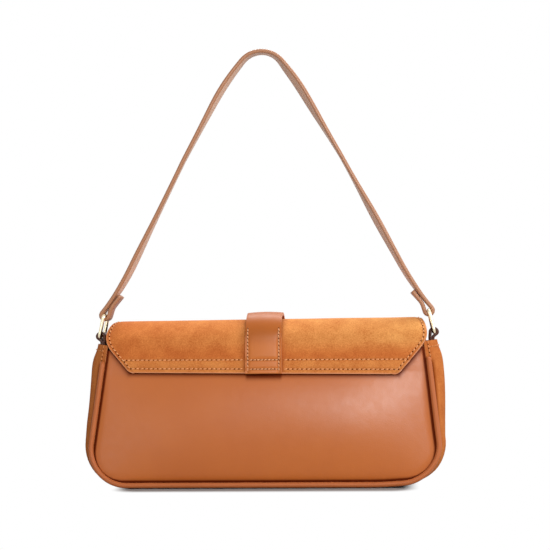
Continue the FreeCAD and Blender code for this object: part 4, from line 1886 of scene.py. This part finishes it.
@dataclass
class Handle:
    """The strap handle: one flat strip, each end looped round a ring and turned back on the inner side."""

    strip: Strip = Strip(11.6, 3.0, 1.35, 4)
    foot_reach: float = 11.9
    foot_rise: float = 19.5
    peak_rise: float = 192.8
    peak_radius: float = 19.0
    bend_radius: float = 190.0
    tail_length: float = 19.0
    tail_reach: float = 2.3
    tail_ease_radius: float = 9.0
    tail_bend_radius: float = 5.0
    loop_length: float = 0.5
    ply_gap: float = 0.3
    bow_rises: Pair = (0.514, 0.809)
    left_bows: Pair = (0.55, 0.268)
    right_bows: Pair = (0.534, 0.242)
    ring_top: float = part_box("right_ring")[1].z / MM
    twist_span: Pair = (ring_top + 2, ring_top + 22)
    twists: tuple[Twist, ...] = (
        Twist(End.RIGHT, 198.0, 27.0, 18.0),
        Twist(End.RIGHT, 158.0, 26.0, 9.0),
        Twist(End.RIGHT, 300.0, 33.0, 24.0),
        Twist(End.LEFT, 168.0, 24.0, 9.0),
        Twist(End.LEFT, 234.0, 40.0, -6.0),
        Twist(End.LEFT, 300.0, 24.0, 8.0),
    )
    spacing: float = 1.5

    def half_stops(self, bows: Pair) -> list[tuple[Vector, float]]:
        """Corners of the strap's line from its right tail up to the peak, each with its bend radius.

        Args:
            bows: How far out the leg stands at the two rises, as shares of its foot's distance.

        Returns:
            The corners in width and height.
        """
        low, high = box_mm("right_ring")
        bar = Vector((low.x + RING_WIRE_RADIUS, 0, high.z - RING_WIRE_RADIUS))
        foot = bar + Vector((-self.foot_reach, 0, self.foot_rise))
        loop = RING_WIRE_RADIUS + RING_CLEARANCE + self.strip.thickness / 2
        run = foot - bar
        angle = math.atan2(run.z, run.x) + math.asin(loop / run.length)
        up = Vector((math.cos(angle), 0, math.sin(angle)))
        out = Vector((up.z, 0, -up.x))
        tail = out * (loop - self.strip.thickness - self.ply_gap)
        stops = [
            (bar + tail + up * self.tail_length, 0.0),
            (bar + tail + up * (self.loop_length + self.tail_reach * loop), self.tail_ease_radius),
            (bar - out * loop + up * self.loop_length, self.tail_bend_radius),
            (bar - (out + up) * loop, loop),
            (bar + (out - up) * loop, loop),
            (foot, self.bend_radius),
        ]
        for rise, span in zip(self.bow_rises, bows):
            stops.append((Vector((foot.x * span, 0, foot.z + self.peak_rise * rise)), self.bend_radius))
        return stops + [(Vector((0, 0, foot.z + self.peak_rise)), self.peak_radius)]

    def path(self) -> list[Vector]:
        """Line of the strap from its right tail to its left one.

        Returns:
            Points along the strap's middle.
        """
        right, left = self.half_stops(self.right_bows), self.half_stops(self.left_bows)
        other = [(Vector((-corner.x, 0, corner.z)), radius) for corner, radius in reversed(left[:-1])]
        return rounded_line(right + other, self.spacing)

    def twist_at(self, path: Line, place: int) -> float:
        """How far the strap is turned about its own line, in radians.

        Args:
            path: The strap's line.
            place: Number of a point on it.

        Returns:
            The turn, whose sign follows the strap's direction so that both plies turn together.
        """
        point = path[place]
        inward = math.copysign(1.0, heading(path, place).z * point.x)
        turn = sum(
            twist.degrees * bell(point.z - twist.height, twist.reach)
            for twist in self.twists
            if point.x * twist.end.value > 0
        )
        fade = smooth_step(point.z, *self.twist_span) * smooth_step(abs(point.x), 0.0, self.peak_radius)
        return math.radians(turn) * inward * fade

    def build(self) -> Piece:
        """Make the strap and put it in its node's place.

        Returns:
            The finished strap.
        """
        path = self.path()
        twists = [self.twist_at(path, place) for place in range(len(path))]
        finishes = (STRAP_LEATHER, STRAP_EDGE, STRAP_INNER)
        piece = strip_from("handle_strap_leather", path, self.strip, finishes, twists)
        return stand_in(piece, "handle_strap", "handle")


@dataclass
class RingAnchor:
    """A leather loop round a ring's lower bar, its two plies sewn inside the gusset's top."""

    end: End
    strip: Strip = Strip(10.0, 2.2, 0.7)
    lap: float = 1.2
    ply_gap: float = 0.12
    neck_drop: float = 3.4
    shoulder_drop: float = 0.8
    bend_radius: float = 2.0
    sewn_drop: float = 2.0
    spacing: float = 0.6

    def build(self) -> list[Piece]:
        """Make the foot and the loop round the ring's lower bar.

        Returns:
            The foot and the loop.
        """
        name = self.end.name.lower()
        low, high = box_mm("right_ring")
        bar = Vector((high.x - RING_WIRE_RADIUS, 0, low.z + RING_WIRE_RADIUS))
        reach = RING_WIRE_RADIUS + RING_CLEARANCE + self.strip.thickness / 2
        outer = bar.x - reach / 4
        inner = outer - self.strip.thickness - self.ply_gap
        neck, shoulder = bar.z - self.neck_drop, bar.z - self.shoulder_drop
        stops = [
            (Vector((outer, 0, neck - self.lap)), 0.0),
            (Vector((outer, 0, neck)), self.bend_radius),
            (Vector((bar.x + reach, 0, shoulder)), self.bend_radius),
            (Vector((bar.x + reach, 0, bar.z + reach)), reach),
            (Vector((bar.x - reach, 0, bar.z + reach)), reach),
            (Vector((bar.x - reach, 0, shoulder)), self.bend_radius),
            (Vector((inner, 0, neck)), self.bend_radius),
            (Vector((inner, 0, neck - self.lap)), 0.0),
        ]
        loop = self.strip_along(name + "_ring_loop_leather", stops, self.strip)
        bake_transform(loop)
        node = name + "_ring_anchor"
        middle = (outer + inner) / 2
        bottom, top = Vector((middle, 0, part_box(node)[0].z / MM)), Vector((middle, 0, neck))
        plies = Strip(self.strip.width - self.ply_gap, 2 * self.strip.thickness, self.strip.rounding)
        foot = self.strip_along(node + "_leather", [(bottom, 0.0), (top, 0.0)], plies)
        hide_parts(node)
        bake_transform(foot)
        return [foot, loop]

    def strip_along(self, name: str, stops: Sequence[tuple[Vector, float]], section: Strip) -> Piece:
        """Make a strip of the anchor's leather along a line drawn for the right end.

        Args:
            name: Name of the piece.
            stops: Corners of the line, each with its bend radius.
            section: Its cross-section.

        Returns:
            The finished strip, at the anchor's own end.
        """
        path = [Vector((self.end.value * point.x, 0, point.z)) for point in rounded_line(stops, self.spacing)]
        return strip_from(name, path, section, (ANCHOR_LEATHER,) * 3, [0.0] * len(path))


@dataclass
class Stitching:
    """Rows of waxed thread: each stitch a short float of thread that dips into a hole at each end."""

    length: float = 2.5
    thickness: float = 1.0
    slant: float = 13.0
    thread_lift: float = 0.28
    dip: float = 0.28
    dip_from: float = 0.4
    hole_radius: float = 0.55
    hole_rim: float = 0.4
    hole_lift: float = 0.06
    hole_crown: float = 0.08
    flap_pitch: float = 3.4
    tab_pitch: float = 2.7
    gusset_pitch: float = 3.0
    tab_gap: float = 1.5
    row_end_insets: float = 1.4
    front_inset: float = 2.8
    corner_gap: float = 2.0
    tab_end_inset: float = 2.0
    tab_overrun: float = 8.0
    tab_row_gap: float = 1.2
    hem_drop: float = 4.2
    hem_share: float = 0.93
    seam_share: float = 0.92
    seam_drop: float = 2.0
    row_steps: int = 60
    edge_steps: int = 150
    tab_row_steps: int = 30

    def take_mesh(self, piece: Piece) -> bpy.types.Mesh:
        """Keep a copy of a piece's mesh and remove the piece.

        Args:
            piece: The piece that was modelled.

        Returns:
            Its mesh.
        """
        mesh = piece.data.copy()
        bpy.data.objects.remove(piece)
        return mesh

    def thread(self) -> bpy.types.Mesh:
        """Model one float of thread, at one unit to the millimetre.

        Returns:
            Its mesh, along the first axis.
        """
        deselect_all()
        bpy.ops.mesh.primitive_uv_sphere_add(segments=8, ring_count=7, radius=0.5)
        piece = bpy.context.active_object
        bpy.ops.object.mode_set(mode="EDIT")
        bpy.ops.mesh.select_all(action="SELECT")
        bpy.ops.transform.rotate(value=math.pi / 2, orient_axis="Y", center_override=(0, 0, 0))
        bpy.ops.transform.resize(value=(self.length, self.thickness, self.thickness))
        bpy.ops.object.mode_set(mode="OBJECT")
        mesh = piece.data
        for vertex in mesh.vertices:
            vertex.select = abs(vertex.co.x) > self.length * self.dip_from
        for part in (*mesh.edges, *mesh.polygons):
            part.select = all(mesh.vertices[corner].select for corner in part.vertices)
        bpy.ops.object.mode_set(mode="EDIT")
        bpy.ops.transform.translate(value=(0, 0, -self.dip))
        bpy.ops.object.mode_set(mode="OBJECT")
        return self.take_mesh(piece)

    def hole(self) -> bpy.types.Mesh:
        """Model one needle hole as a shallow dark dish of painted shade, at one unit to the millimetre.

        Returns:
            Its mesh.
        """
        deselect_all()
        bpy.ops.mesh.primitive_circle_add(vertices=8, radius=self.hole_radius, fill_type="NGON")
        piece = bpy.context.active_object
        bpy.ops.object.mode_set(mode="EDIT")
        bpy.ops.mesh.select_all(action="SELECT")
        bpy.ops.mesh.inset(thickness=self.hole_radius * self.hole_rim)
        bpy.ops.transform.translate(value=(0, 0, self.hole_crown))
        bpy.ops.object.mode_set(mode="OBJECT")
        return self.take_mesh(piece)

    def sew(self, name: str, places: Sequence[Stitch], pitch: float, finish: Finish = THREAD) -> Piece:
        """Copy the stitch to every place.

        Args:
            name: Name of the piece.
            places: Each stitch's middle, direction and outward direction.
            pitch: Distance from stitch to stitch.
            finish: Finish of the thread.

        Returns:
            All the stitches as one piece.
        """
        points: list[Vector] = []
        faces: Faces = []
        kinds: list[int] = []
        lifts = (self.thickness * self.thread_lift, self.hole_lift)
        turn = math.radians(self.slant)
        for kind, pattern in enumerate((self.thread(), self.hole())):
            for middle, ahead, out in places:
                across = out.cross(ahead).normalized()
                lie = ahead * math.cos(turn) + across * math.sin(turn)
                side = out.cross(lie)
                centre = middle + ahead * (pitch / 2 * kind) + out * lifts[kind]
                start = len(points)
                points.extend(centre + lie * v.co.x + side * v.co.y + out * v.co.z for v in pattern.vertices)
                faces.extend(tuple(start + corner for corner in face.vertices) for face in pattern.polygons)
                kinds.extend(kind for _ in pattern.polygons)
            bpy.data.meshes.remove(pattern)
        piece = link_mesh(name, points, faces, [finish, NEEDLE_HOLE_SHADE])
        piece.data.polygons.foreach_set("material_index", kinds)
        return piece

    def stitches(self, row: Sequence[Ray], pitch: float) -> list[Stitch]:
        """Places of the stitches along a row of points on a surface.

        Args:
            row: The points, each with the outward direction there.
            pitch: Distance from stitch to stitch.

        Returns:
            Each stitch's middle, direction and outward direction.
        """
        found = []
        for middle, ahead in along([point for point, _ in row], pitch, pitch / 2):
            _, out = min(row, key=lambda pair: (pair[0] - middle).length_squared)
            found.append((middle, ahead, out))
        return found

    def row_across(self, flap: Flap, run: float, sign: int, reach: float) -> list[Stitch]:
        """Places of the stitches across one end of the flap.

        Args:
            flap: The flap.
            run: Distance from its rear edge.
            sign: -1 for the left end, 1 for the right end.
            reach: How far from the middle the row ends; it starts beside the tab.

        Returns:
            The places, as stitches gives them.
        """
        first, last = sign * (flap.tab_width / 2 + self.tab_gap), sign * reach
        steps = range(self.row_steps + 1)
        row = [flap.surface(first + (last - first) * step / self.row_steps, run) for step in steps]
        return self.stitches(row, self.flap_pitch)

    def edge_place(self, flap: Flap, run: float, x: float) -> float:
        """Place along the width of the stitches beside the flap's edge."""
        slope = flap.half_width(flap.line, run + 0.5, x) - flap.half_width(flap.line, run - 0.5, x)
        return flap.half_width(flap.line, run, x) - flap.edge_inset * math.sqrt(1 + slope * slope)

    def flap_rows(self, flap: Flap) -> Piece:
        """Sew the flap: two rows across its rear, one row round its edge.

        Args:
            flap: The flap.

        Returns:
            Its stitches.
        """
        line = flap.line
        rows = flap.row_runs(line)
        start, front = rows[0], line.length - self.front_inset
        runs = [start + (front - start) * step / self.edge_steps for step in range(self.edge_steps + 1)]
        places = []
        for run in rows:
            for sign in (-1, 1):
                reach = flap.half_width(line, run, sign) - self.row_end_insets * flap.edge_inset
                places += self.row_across(flap, run, sign, reach)
        for sign in (-1, 1):
            row = [flap.surface(sign * self.edge_place(flap, run, sign), run) for run in runs]
            places += self.stitches(row, self.flap_pitch)
        for sign in (-1, 1):
            places += self.row_across(flap, front, sign, self.edge_place(flap, front, sign) - self.corner_gap)
        return flap.bend_over(self.sew("flap_stitches", places, self.flap_pitch))

    def tab_rows(self, flap: Flap) -> Piece:
        """Sew the tab: a row along each edge and two rows across its rear.

        Args:
            flap: The flap that holds the tab.

        Returns:
            The tab's stitches.
        """
        line = flap.tab_line
        rear, front = line.rear_run + self.tab_overrun, line.length - line.rear_run - line.fold_run
        steps = range(self.row_steps + 1)
        rear_runs = [self.tab_end_inset + rear * step / self.row_steps for step in steps]
        front_runs = [line.length - self.tab_end_inset - front * step / self.row_steps for step in steps]
        places = []
        for sign in (-1, 1):
            x = sign * (flap.tab_width / 2 - flap.tab_inset)
            for runs in (rear_runs, front_runs):
                places += self.stitches([flap.tab_surface(x, run) for run in runs], self.tab_pitch)
        reach = flap.tab_width / 2 - flap.tab_inset - self.tab_row_gap
        across = [-reach + 2 * reach * step / self.tab_row_steps for step in range(self.tab_row_steps + 1)]
        for run in flap.row_runs(line):
            places += self.stitches([flap.tab_surface(x, run) for x in across], self.tab_pitch)
        return flap.bend_over(self.sew("tab_stitches", places, self.tab_pitch, TAB_THREAD))

    def gusset_rows(self, gusset: Gusset) -> Piece:
        """Sew a gusset: a row along its hem, and rows down both seams until the piping starts.

        Args:
            gusset: The gusset.

        Returns:
            Its stitches.
        """
        stations = gusset.stations()
        hem = min(stations, key=lambda station: abs(gusset.body.gusset_height - self.hem_drop - station[0].z))
        side = Vector((gusset.end.value, 0, 0))
        steps = range(self.row_steps + 1)
        shares = [-self.hem_share + 2 * self.hem_share * step / self.row_steps for step in steps]
        places = self.stitches([(gusset.surface(hem, share), side) for share in shares], self.gusset_pitch)
        upper = [station for station in stations if station[0].z > gusset.piping_top - self.seam_drop]
        for sign in (-1, 1):
            out = (side + Vector((0, sign, 0))).normalized()
            row = [(gusset.surface(station, sign * self.seam_share), out) for station in upper]
            places += self.stitches(row, self.gusset_pitch)
        piece = self.sew(gusset.end.name.lower() + "_gusset_stitches", places, self.gusset_pitch, GUSSET_THREAD)
        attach(piece, "bag")
        return piece


def dress_nodes() -> None:
    """Give the frame's own metal and board pieces their finishes."""
    finishes = {
        "left_ring": GOLD,
        "right_ring": GOLD,
        "snap_socket": STEEL,
        "snap_stud": STEEL,
        "rear_stiffener": BOARD,
        "front_stiffener": BOARD,
        "base_board": BOARD,
    }
    for node, finish in finishes.items():
        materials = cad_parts[node].data.materials
        materials.clear()
        materials.append(finish.material())


@dataclass(frozen=True)
class Lamp:
    """A soft rectangular lamp: its place, its width and height in metres, and its power in watts."""

    name: str
    place: tuple[float, float, float]
    size: Pair
    watts: float
    aim: tuple[float, float, float] = (0.0, 0.0, 0.08)

    def build(self) -> None:
        """Add the lamp, turned to the bag."""
        light = bpy.data.lights.new(self.name, "AREA")
        light.shape = "RECTANGLE"
        light.size, light.size_y = self.size
        light.energy = self.watts
        stand = bpy.data.objects.new(self.name, light)
        stand.location = self.place
        stand.rotation_euler = (Vector(self.aim) - Vector(self.place)).to_track_quat("-Z", "Y").to_euler()
        bpy.context.scene.collection.objects.link(stand)


@dataclass
class Studio:
    """White studio: pale floor, soft lamps and the camera at the photograph's angle."""

    camera_azimuth: float = 5.2
    camera_distance: float = 1.0
    camera_height: float = 0.120
    aim: tuple[float, float, float] = (0.0076, 0.0, 0.158)
    roll: float = -0.85
    lens: float = 86.0
    sensor_width: float = 36.0
    ambient: float = 0.225
    floor_tone: str = "#a0a0a0"
    floor_size: float = 12.0
    foot_inset: float = 0.045
    shadow_reaches: Pair = (0.008, 0.022)
    lamps: tuple[Lamp, ...] = (
        Lamp("key_softbox", (0.24, -1.19, 0.53), (0.32, 0.2), 8.4),
        Lamp("left_strip", (-0.52, -1.1, 0.2), (0.18, 0.5), 1.3),
        Lamp("right_fill", (1.1, -0.4, 0.5), (0.5, 0.6), 6.0),
        Lamp("overhead", (0.2, 0.42, 1.15), (1.2, 0.3), 14.0),
    )

    def white_rays(self, tree: Tree) -> bpy.types.NodeSocket:
        """Tell which rays see the background: those from the camera, or off metal and gloss.

        Args:
            tree: The node tree to add to.

        Returns:
            1 for such a ray, 0 for any other.
        """
        path = add_node(tree, "LightPath")
        either = {"operation": "ADD", "use_clamp": True}
        seen = {**either, 0: path["Is Camera Ray"], 1: path["Is Glossy Ray"]}
        every = {**either, 0: add_node(tree, "Math", seen)[0], 1: path["Is Transmission Ray"]}
        return add_node(tree, "Math", every)[0]

    def build_world(self) -> None:
        """White background, with a softer even light on the bag."""
        world = bpy.data.worlds.new("white_studio")
        bpy.context.scene.world = world
        world.use_nodes = True
        tree = world.node_tree
        light = {"To Min": self.ambient, "To Max": 1.0, "Value": self.white_rays(tree)}
        strength = add_node(tree, "MapRange", light)[0]
        feed(first_node(tree, "BACKGROUND"), {"Color": (1, 1, 1, 1), "Strength": strength})

    def build_floor(self) -> None:
        """Pale floor that keeps the bag's shadow close to it and glows white further off; close round the foot
        its grey paper is a painted darker patch.
        """
        deselect_all()
        bpy.ops.mesh.primitive_grid_add(x_subdivisions=4, y_subdivisions=4, size=self.floor_size)
        floor = bpy.context.active_object
        floor.name = "floor"
        material = bpy.data.materials.new("white_floor_paper")
        material.use_nodes = True
        tree = material.node_tree
        paper = first_node(tree, "BSDF_PRINCIPLED")
        feed(paper, {"Base Color": linear(self.floor_tone), "Roughness": 1.0, "Specular IOR Level": 0.0})
        high = CAD_BOX[1]
        foot = Vector((high[0] - self.foot_inset, high[1], 0))
        spot = add_node(tree, "TexCoord")["Object"]
        for step in ({"operation": "ABSOLUTE"}, {"operation": "SUBTRACT", 1: foot}, {"operation": "MAXIMUM"}):
            spot = add_node(tree, "VectorMath", {**step, 0: spot})[0]
        far = add_node(tree, "VectorMath", {"operation": "LENGTH", 0: spot})["Value"]
        # Within these distances of the bag's foot the floor does not glow: the grey paper there is a painted
        # darker patch round the foot, in which the real shadow also falls.
        near, clear = self.shadow_reaches
        reach = {"interpolation_type": "SMOOTHSTEP", "From Min": near, "From Max": clear, "Value": far}
        share = add_node(tree, "MapRange", reach)[0]
        white = {"operation": "MULTIPLY", 0: share, 1: self.white_rays(tree)}
        glow = add_node(tree, "Emission", {"Strength": 1.0})
        layers = {0: add_node(tree, "Math", white)[0], 1: paper.outputs[0], 2: glow[0]}
        surface = add_node(tree, "MixShader", layers)[0]
        feed(first_node(tree, "OUTPUT_MATERIAL"), {"Surface": surface})
        floor.data.materials.append(material)

    def build_camera(self) -> None:
        """Camera at the photograph's angle: low, nearly level and a little to the right."""
        turn = math.radians(self.camera_azimuth)
        aim = Vector(self.aim)
        flat = Vector((math.sin(turn), -math.cos(turn), 0)) * self.camera_distance
        place = Vector((aim.x, aim.y, self.camera_height)) + flat
        lens = bpy.data.cameras.new("studio_camera")
        lens.lens = self.lens
        lens.sensor_width = self.sensor_width
        camera = bpy.data.objects.new("studio_camera", lens)
        look = (aim - place).to_track_quat("-Z", "Y").to_matrix()
        roll = Matrix.Rotation(math.radians(self.roll), 3, "Z")
        camera.matrix_world = Matrix.Translation(place) @ (look @ roll).to_4x4()
        bpy.context.scene.collection.objects.link(camera)
        bpy.context.scene.camera = camera

    def build(self) -> None:
        """Set up the world, floor, lamps, camera and colour view."""
        self.build_world()
        self.build_floor()
        for lamp in self.lamps:
            lamp.build()
        self.build_camera()
        bpy.context.scene.view_settings.view_transform = "Standard"


def main() -> None:
    """Build the bag piece by piece, then the studio."""
    logging.basicConfig(level=logging.INFO, format="%(name)s: %(message)s")
    body = Body()
    slack = {"side_swells": (1.08, 1.05, 0.98, 0.86, 0.68, 0.54), "corner_swells": (0.54, 0.52, 0.46, 0.24, 0.0)}
    gussets = [Gusset(body, End.LEFT), Gusset(body, End.RIGHT, **slack)]
    flap = Flap(body)
    pieces = [
        Panel(body, Side.REAR, body.rear_crown, body.panel_v(body.flap_rear_low), flap.rear_gap).build(),
        Panel(body, Side.FRONT, body.front_crown, body.panel_v(body.flap_front_low)).build(),
        *(Piping(body, side).build() for side in Side),
        *(gusset.build() for gusset in gussets),
        Base(body).build(),
        *Lining(body).build(gussets),
        *flap.build(),
        Handle().build(),
        *(piece for end in End for piece in RingAnchor(end).build()),
    ]
    thread = Stitching()
    pieces += [thread.flap_rows(flap), thread.tab_rows(flap), *(thread.gusset_rows(gusset) for gusset in gussets)]
    dress_nodes()
    for piece in pieces:
        log.info("%s: %d faces", piece.name, len(piece.data.polygons))
    Studio().build()


if __name__ == "__main__":
    main()
